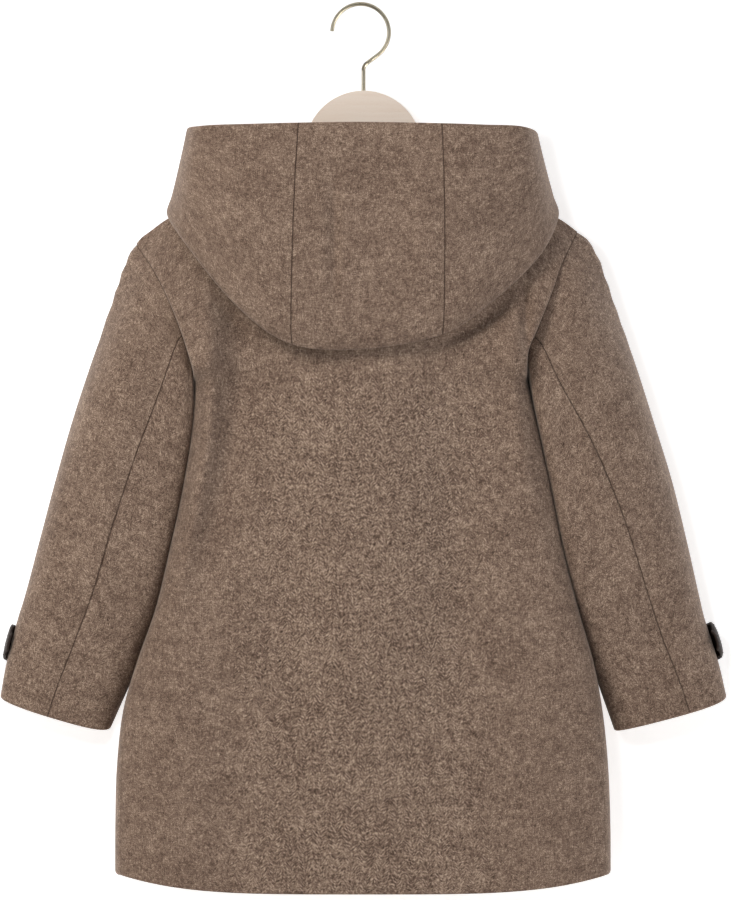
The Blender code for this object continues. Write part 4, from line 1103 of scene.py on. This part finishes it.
def makeBrass():
    # Drawn steel wire plated with pale brass: bright, with faint draw lines and handling marks.
    material, tree, shader = newMaterial("platedBrassWire", {"Metallic": 1.0})
    place = addNode(tree, "ShaderNodeTexCoord")
    marks = addNode(tree, "ShaderNodeTexNoise", {}, {
        "Vector": place.outputs["Object"], "Scale": 380.0, "Detail": 4.0})
    tone = addNode(tree, "ShaderNodeMix", {"data_type": "RGBA"}, {
        0: marks.outputs["Fac"], 6: linearColour("efe3c4"), 7: linearColour("fbf5e3")})
    rough = addNode(tree, "ShaderNodeMapRange", {}, {0: marks.outputs["Fac"], 3: 0.22, 4: 0.40})
    dress(tree, shader, {"Base Color": tone.outputs[2], "Roughness": rough.outputs[0]})
    return material


leather = makeLeather()
tabThread = makeThread("waxedTabThread", "241913", "4a382d")
buttonThread = makeThread("waxedButtonThread", "2b1f18", "564337")
resin = makeButtonResin()
beech = makeBeech()
brass = makeBrass()
print("small materials ready")


def chooseOnly(made):
    bpy.ops.object.select_all(action="DESELECT")
    made.select_set(True)
    bpy.context.view_layer.objects.active = made


def startMesh(name):
    # the primitive that was just added, alone
    made = bpy.context.object
    made.name = name
    chooseOnly(made)
    return made


def applyAll(made):
    chooseOnly(made)
    bpy.ops.object.transform_apply(location=True, rotation=True, scale=True)
    for modifier in list(made.modifiers):
        bpy.ops.object.modifier_apply(modifier=modifier.name)


hook = {
    "wire": 0.00175,
    "radius": 0.02415,          # to the middle of the wire
    "centreX": 0.0025,
    "tipTurn": 2.0,
    "endTurn": 233.0,
    "bendRadius": 0.0075,
    "into": 0.0877,             # the drop of its lower end, in the board
    "tipRound": 0.45,           # a share of the wire's radius
    "sides": 20,
    "eyeSteps": 88,
    "bendSteps": 16,
}


def bendHook():
    wire, radius = hook["wire"], hook["radius"]
    centre = Vector((hook["centreX"], 0, -math.sqrt((radius - wire) ** 2 - hook["centreX"] ** 2)))
    tip = math.radians(hook["tipTurn"])
    end = math.radians(hook["endTurn"])
    start = centre + Vector((math.cos(tip), 0, math.sin(tip))) * radius
    bpy.ops.mesh.primitive_circle_add(vertices=hook["sides"], radius=wire, fill_type="NGON",
                                      location=start, rotation=(0, -tip, 0))
    made = startMesh("hangerHook")
    bpy.ops.object.transform_apply(location=True, rotation=True, scale=True)
    bpy.ops.object.mode_set(mode="EDIT")
    bpy.ops.mesh.select_all(action="SELECT")
    bpy.ops.mesh.spin(steps=hook["eyeSteps"], angle=end - tip, center=centre, axis=(0, 1, 0))
    # straight towards the stem, then the small bend and down into the board
    left = centre + Vector((math.cos(end), 0, math.sin(end))) * radius
    heading = Vector((-math.sin(end), 0, math.cos(end)))
    turn = math.acos(-heading.z)
    bend = hook["bendRadius"]
    corner = left + heading * (-left.x / heading.x)
    straight = (corner - left).length - bend * math.tan(turn / 2)
    bpy.ops.mesh.extrude_region_move(TRANSFORM_OT_translate={"value": heading * straight})
    level = corner.z - bend * math.tan(turn / 2)
    bpy.ops.mesh.spin(steps=hook["bendSteps"], angle=turn, center=(-bend, 0, level),
                      axis=(0, -1, 0))
    bpy.ops.mesh.extrude_region_move(
        TRANSFORM_OT_translate={"value": (0, 0, -hook["into"] - level)})
    bpy.ops.mesh.select_all(action="SELECT")
    bpy.ops.mesh.remove_doubles(threshold=0.00001)
    bpy.ops.mesh.normals_make_consistent(inside=False)
    # meant for the tip's edge alone, but the whole wire is selected here, so every edge of it is
    # bevelled and the wire has about 30 times the faces that it needs
    bpy.ops.mesh.select_mode(type="EDGE")
    bpy.ops.mesh.bevel(offset=wire * hook["tipRound"], segments=4)
    bpy.ops.object.mode_set(mode="OBJECT")
    made.data.shade_smooth()
    finishPiece(made, "hanger_hook", brass)
    print("hook bent,", len(made.data.polygons), "faces")


board = {
    "thick": 0.012,
    "edge": 0.0028,
    "humpRadius": 0.050,
    "humpTop": 0.0717,
    "humpTurn": 70.0,
    "humpFoot": (0.050, 0.158),
    "belowSeam": 0.0118,        # the arm's top lies this far under the shoulder seam
    "armFrom": 0.084,
    "armTip": 0.158,
    "armHeight": 0.022,
    "tipRound": 0.0077,
    "tipTurn": 88,
    "foot": 0.168,
    "archPower": 0.8,           # how the lower edge rises from the foot to the tip
    "points": (36, 26, 24, 14), # round the hump, down to the arm, along it, round its tip
}


def armTop(out):
    return softCurve(shoulder["out"], shoulder["drop"], out) + board["belowSeam"]


def boardEdges():
    # places from the middle to the arm's tip, with the drops of the upper and the lower edge
    humpPoints, curvePoints, armPoints, tipPoints = board["points"]
    turns = np.radians(np.linspace(0, board["humpTurn"], humpPoints))
    out = [board["humpRadius"] * np.sin(turns)]
    top = [board["humpTop"] + board["humpRadius"] * (1 - np.cos(turns))]
    t = np.linspace(0, 1, curvePoints)[1:]
    foot = board["humpFoot"]
    arm = (board["armFrom"], armTop(board["armFrom"]))
    for line, start, middle, end in ((out, out[0][-1], foot[0], arm[0]),
                                     (top, top[0][-1], foot[1], arm[1])):
        line.append(start * (1 - t) ** 2 + middle * 2 * t * (1 - t) + end * t * t)
    out.append(np.linspace(board["armFrom"], board["armTip"], armPoints)[1:])
    top.append(armTop(out[2]))
    half = board["armHeight"] / 2
    tipDrop = float(armTop(board["armTip"]))
    turns = np.radians(np.linspace(0, board["tipTurn"], tipPoints))[1:]
    out.append(board["armTip"] + board["tipRound"] * np.sin(turns))
    top.append(tipDrop + half * (1 - np.cos(turns)))
    out = np.concatenate(out)
    top = np.concatenate(top)
    share = np.clip((board["armTip"] - out) / board["armTip"], 0, 1) ** board["archPower"]
    low = blend(tipDrop + board["armHeight"], board["foot"], share)
    low[-len(turns):] = tipDrop + half * (1 + np.cos(turns))
    return out, top, low


def shapeBoard():
    out, top, low = boardEdges()
    out = np.concatenate((-out[:0:-1], out))
    top = np.concatenate((top[:0:-1], top))
    low = np.concatenate((low[:0:-1], low))
    bpy.ops.mesh.primitive_grid_add(x_subdivisions=len(out) - 1, y_subdivisions=1, size=1,
                                    rotation=(math.pi / 2, 0, 0))
    made = startMesh("hangerBoard")
    bpy.ops.object.transform_apply(location=True, rotation=True, scale=True)
    # each upright line of the sheet goes to its place along the outline
    for vertex in made.data.vertices:
        i = round((vertex.co.x + 0.5) * (len(out) - 1))
        drop = top[i] if vertex.co.z > 0 else low[i]
        vertex.co = (out[i], 0, -drop)
    bpy.ops.object.mode_set(mode="EDIT")
    bpy.ops.mesh.select_all(action="SELECT")
    bpy.ops.mesh.normals_make_consistent(inside=False)
    bpy.ops.object.mode_set(mode="OBJECT")
    wall = made.modifiers.new("plank", "SOLIDIFY")
    wall.thickness = board["thick"]
    wall.offset = 0
    edge = made.modifiers.new("sandedEdge", "BEVEL")
    edge.width = board["edge"]
    edge.segments = 5
    edge.limit_method = "ANGLE"
    edge.angle_limit = math.radians(50)
    applyAll(made)
    bpy.ops.object.shade_smooth_by_angle(angle=math.radians(32))
    finishPiece(made, "hanger_board", beech)
    print("board shaped,", len(made.data.polygons), "faces")


bendHook()
shapeBoard()


button = {
    # metres, and then shares of the radius; the tab buttons are the front ones, smaller
    "radius": 0.011,
    "thick": 0.0042,
    "insets": ((0.22, 0.0), (0.088, -0.10), (0.3, -0.015)),    # inwards and down; see turnButton
    "holeFrom": 0.17,
    "holeRadius": 0.085,
    "thread": 0.045,
    "threadTall": 1.15,
    "threadLift": 0.06,         # this and the next are shares of the thickness
    "edgeRound": 0.26,
    "tabRadius": 0.0075,
    "front": 4,
}


def turnButton():
    # a four-hole button lying flat at the origin, its face up
    radius, thick = button["radius"], button["thick"]
    bpy.ops.mesh.primitive_cylinder_add(vertices=56, radius=radius, depth=thick)
    made = startMesh("buttonBlank")
    bpy.ops.object.mode_set(mode="EDIT")
    bpy.ops.mesh.select_mode(type="FACE")
    # meant for the upper face alone, but the whole blank is selected here, so these cut no rim or
    # dish and leave a plain disc that is thinner and smaller than the blank
    for inward, down in button["insets"]:
        bpy.ops.mesh.inset(thickness=radius * inward, depth=radius * down)
    bpy.ops.object.mode_set(mode="OBJECT")
    soft = made.modifiers.new("turnedEdge", "BEVEL")
    soft.width = thick * button["edgeRound"]
    soft.segments = 4
    soft.limit_method = "ANGLE"
    soft.angle_limit = math.radians(40)
    applyAll(made)
    drills = []
    away = radius * button["holeFrom"] * math.sqrt(2)
    for i in range(4):
        turn = math.radians(45 + 90 * i)
        bpy.ops.mesh.primitive_cylinder_add(
            vertices=20, radius=radius * button["holeRadius"], depth=thick * 3,
            location=(away * math.cos(turn), away * math.sin(turn), 0))
        drills.append(startMesh("drill%d" % i))
    for drill in drills:
        cut = made.modifiers.new("hole", "BOOLEAN")
        cut.operation = "DIFFERENCE"
        cut.object = drill
        cut.solver = "EXACT"
    applyAll(made)
    for drill in drills:
        bpy.data.objects.remove(drill, do_unlink=True)
    made.data.materials.clear()
    made.data.materials.append(resin)
    made.data.materials.append(buttonThread)
    threads = []
    for i in (-1, 1):
        bpy.ops.mesh.primitive_torus_add(
            major_radius=radius * button["holeFrom"], minor_radius=radius * button["thread"],
            major_segments=28, minor_segments=10,
            location=(0, i * radius * button["holeFrom"], 0), rotation=(math.pi / 2, 0, 0))
        thread = startMesh("buttonThread%d" % (i + 1))
        bpy.ops.object.transform_apply(location=True, rotation=True, scale=True)
        for vertex in thread.data.vertices:
            lifted = button["threadLift"] * thick if vertex.co.z > 0 else 0
            vertex.co.z = vertex.co.z * button["threadTall"] + lifted
        thread.data.materials.append(resin)
        thread.data.materials.append(buttonThread)
        for face in thread.data.polygons:
            face.material_index = 1
        threads.append(thread)
    bpy.ops.object.select_all(action="DESELECT")
    for thing in threads + [made]:
        thing.select_set(True)
    bpy.context.view_layer.objects.active = made
    bpy.ops.object.join()
    bpy.ops.object.shade_smooth_by_angle(angle=math.radians(35))
    return made


def sewButton(blank, name, nodeName, radius, facing):
    # a copy of the blank, laid where the frame's button is
    made = blank.copy()
    made.data = blank.data.copy()
    made.name = name
    bpy.context.collection.objects.link(made)
    places = np.array([tuple(vertex.co) for vertex in nodes[nodeName].data.vertices])
    low, high = places.min(axis=0), places.max(axis=0)
    axis = np.linalg.svd(places - (low + high) / 2)[2][2]
    axis = Vector(axis * np.sign(np.dot(axis, facing)))
    turned = axis.to_track_quat("Z", "X").to_matrix().to_4x4()
    size = radius / button["radius"]
    middle = Matrix.Translation(Vector((low + high) / 2))
    made.data.transform(middle @ turned @ Matrix.Scale(size, 4))
    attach(made, "root")
    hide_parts(nodeName)


blank = turnButton()
for number in range(1, button["front"] + 1):
    sewButton(blank, "frontButton%d" % number, "front_button_%d" % number, button["radius"],
              (0, -1, 0))
for side, word in ((1, "left"), (-1, "right")):
    sewButton(blank, word + "TabButton", "tab_button_" + word, button["tabRadius"], (side, -1, 0))
bpy.data.objects.remove(blank, do_unlink=True)
print("buttons sewn on")


tab = {
    "share": 0.862,             # down the sleeve
    "halfShare": 0.044,
    "fromTurn": -78.0,
    "toTurn": 16.0,
    "endShare": 0.55,
    "endSquareness": 6,
    "thick": 0.0022,
    "gap": 0.0006,
    "leavesSleeve": -36.0,
    "standsOff": {1: 0.0022, -1: 0.0046},
    "crownPower": 2.6,          # it stands off most along its middle
    "crownEdge": 0.2,
    "edgeRound": 0.0009,
    "stitchInset": 0.0030,
    "stitchPitch": 0.0032,
    "stitchLong": 0.0025,
    "stitchThick": 0.00042,
    "stitchAim": 0.0005,        # how far ahead a stitch looks for its direction
}


def tabGrid(side, along, across):
    narrow = np.sqrt(np.clip(1 - np.abs(2 * along - 1) ** tab["endSquareness"], 0, 1))
    half = tab["halfShare"] * np.maximum(narrow, tab["endShare"])
    turn = blend(tab["fromTurn"], tab["toTurn"], along)
    turn = np.broadcast_to(turn, (len(across), len(along)))
    return sleevePoint(side, tab["share"] + across[:, None] * half[None, :], turn)


def addStitches(made, path, normals, material):
    # short raised stitches along a closed path
    lengths = lengthsOf(path)
    count = int(round(lengths[-1] / tab["stitchPitch"]))
    shape = bmesh.new()
    for i in range(count):
        at = (i + 0.5) / count * lengths[-1]
        place, ahead, normal = (
            np.array([np.interp(reached, lengths, values[:, k]) for k in range(3)])
            for reached, values in ((at, path), (at + tab["stitchAim"], path), (at, normals)))
        tangent = unit(ahead - place)
        normal = unit(normal - tangent * np.dot(normal, tangent))
        turned = Matrix((tangent, np.cross(normal, tangent), normal)).transposed().to_4x4()
        size = Matrix.Diagonal((tab["stitchLong"] / 2, tab["stitchThick"], tab["stitchThick"], 1))
        bmesh.ops.create_uvsphere(shape, u_segments=8, v_segments=6, radius=1.0,
                                  matrix=Matrix.Translation(Vector(place)) @ turned @ size)
    for face in shape.faces:
        face.material_index = 1
        face.smooth = True
    shape.from_mesh(made.data)
    shape.to_mesh(made.data)
    shape.free()
    made.data.materials.append(material)


def makeTab(side, word):
    along = fineSteps(1, "tabAlong")
    across = fineSteps(1, "tabAcross") * 2 - 1
    grid = tabGrid(side, along, across)
    normals = normalsOf(grid, -side)
    turn = blend(tab["fromTurn"], tab["toTurn"], along)
    rise = ease((turn - tab["leavesSleeve"]) / -tab["leavesSleeve"])
    flat = tab["gap"] + tab["thick"]
    off = flat + tab["standsOff"][side] * rise
    crown = np.sqrt(np.clip(1 - np.abs(across) ** tab["crownPower"], 0, 1))[:, None]
    off = flat + (off[None, :] - flat) * blend(tab["crownEdge"], 1.0, crown)
    grid = grid + normals * off[..., None]
    normals = normalsOf(grid, -side)
    a = lengthsAlong(grid, 1)
    d = lengthsAlong(grid, 0)
    edge = np.minimum.reduce((a, a[:, -1:] - a, d, d[-1:] - d))
    turned = roundOver(edge, tab["edgeRound"])
    outer = grid - normals * turned[..., None]
    inner = grid - normals * (tab["thick"] - turned)[..., None]
    made = shellObject(word + "CuffTab", outer, inner, -side, np.stack((a, d), axis=-1), {})
    rim = np.argmin(np.abs(d[:, len(along) // 2] - tab["stitchInset"]))
    end = np.argmin(np.abs(a[len(across) // 2] - tab["stitchInset"]))
    rows, columns = len(across) - 1 - rim, len(along) - 1 - end
    loop = ([(rim, j) for j in range(end, columns)]
            + [(i, columns) for i in range(rim, rows)]
            + [(rows, j) for j in range(columns, end, -1)]
            + [(i, end) for i in range(rows, rim, -1)])
    loop.append(loop[0])
    path = np.array([outer[i, j] for i, j in loop])
    finishPiece(made, "cuff_tab_" + word, leather)
    addStitches(made, path, np.array([normals[i, j] for i, j in loop]), tabThread)
    print(word, "cuff tab,", len(made.data.polygons), "faces")


makeTab(1, "left")
makeTab(-1, "right")


view = {
    "pixel": 0.00085,           # metres that one pixel of the photograph covers
    "width": 731,
    "height": 900,
    "hookX": 363.5,             # where the hook's inside top is in the photograph
    "hookY": 6.2,
}


studio = {
    "wallBehind": -0.072,       # the wall that the coat hangs against
    "wallMiddle": 2.14,
    "floor": -0.86,
    "size": 6,
    "cameraAway": 2.5,
    "air": 0.30,
    "wallGlow": 0.62,
    "aim": (0, 0, -0.38),
    # name, place, size, power, colour, and whether it lights the wall or everything else; the
    # wall's own lamp is almost straight before it, so that the coat's shadow is thin
    "lights": (
        ("keySoftbox", (1.25, 1.5, 1.0), 0.8, 29.4, "fffaf4", False),
        ("fillSoftbox", (-1.5, 1.6, -0.2), 1.6, 11.0, "f6f8ff", False),
        ("frontSoftbox", (0.7, -1.9, 0.5), 1.4, 3.0, "fffdfa", False),
        ("wallSoftbox", (0.26, 2.4, -0.05), 0.4, 26.0, "fdfdff", True),
    ),
}


def addCamera():
    # the photograph has next to no perspective, so the camera is a parallel one
    x = -(view["width"] / 2 - view["hookX"]) * view["pixel"]
    z = -(view["height"] / 2 - view["hookY"]) * view["pixel"]
    bpy.ops.object.camera_add(location=(x, studio["cameraAway"], z),
                              rotation=(math.pi / 2, 0, math.pi))
    camera = bpy.context.object
    camera.data.type = "ORTHO"
    camera.data.ortho_scale = view["height"] * view["pixel"]
    bpy.context.scene.camera = camera


def addStage():
    bpy.ops.mesh.primitive_plane_add(size=studio["size"], location=(0, 0, studio["floor"]))
    floor = bpy.context.object
    floor.name = "floor"
    bpy.ops.mesh.primitive_plane_add(
        size=studio["size"], location=(0, studio["wallBehind"], studio["wallMiddle"]),
        rotation=(-math.pi / 2, 0, 0))
    wall = bpy.context.object
    wall.name = "wall"
    wall.visible_shadow = False
    pale, _, _ = newMaterial("palePaintedFloor", {
        "Base Color": linearColour("eeeeec"), "Roughness": 0.8})
    floor.data.materials.append(pale)
    white, tree, shader = newMaterial("whiteWall", {
        "Base Color": linearColour("f2f2f2"), "Roughness": 1.0,
        "Emission Color": linearColour("ffffff"), "Emission Strength": studio["wallGlow"]})
    # the wall is one-sided, so the coat's front shows from the other side
    side = addNode(tree, "ShaderNodeNewGeometry")
    clear = addNode(tree, "ShaderNodeBsdfTransparent")
    mixed = addNode(tree, "ShaderNodeMixShader", {}, {
        0: side.outputs["Backfacing"], 1: shader.outputs[0], 2: clear.outputs[0]})
    tree.links.new(mixed.outputs[0], tree.nodes["Material Output"].inputs["Surface"])
    wall.data.materials.append(white)
    return wall


def addLight(wall, name, place, size, power, colour, lightsWall):
    bpy.ops.object.light_add(type="AREA", location=place)
    lamp = bpy.context.object
    lamp.name = name
    lamp.data.shape = "DISK"
    lamp.data.size = size
    lamp.data.energy = power
    lamp.data.color = linearColour(colour)[:3]
    aim = Vector(studio["aim"]) - Vector(place)
    lamp.rotation_euler = aim.to_track_quat("-Z", "Y").to_euler()
    lit = bpy.data.collections.new(name + "Lights")
    lit.objects.link(wall)
    lit.collection_objects[0].light_linking.link_state = "INCLUDE" if lightsWall else "EXCLUDE"
    lamp.light_linking.receiver_collection = lit


def addLights(wall):
    for light in studio["lights"]:
        addLight(wall, *light)
    world = bpy.data.worlds.new("studioAir")
    bpy.context.scene.world = world
    world.use_nodes = True
    air = world.node_tree.nodes["Background"]
    air.inputs["Color"].default_value = linearColour("fbfbfd")
    air.inputs["Strength"].default_value = studio["air"]
    bpy.context.scene.view_settings.view_transform = "Standard"


addCamera()
addLights(addStage())
print("studio set")
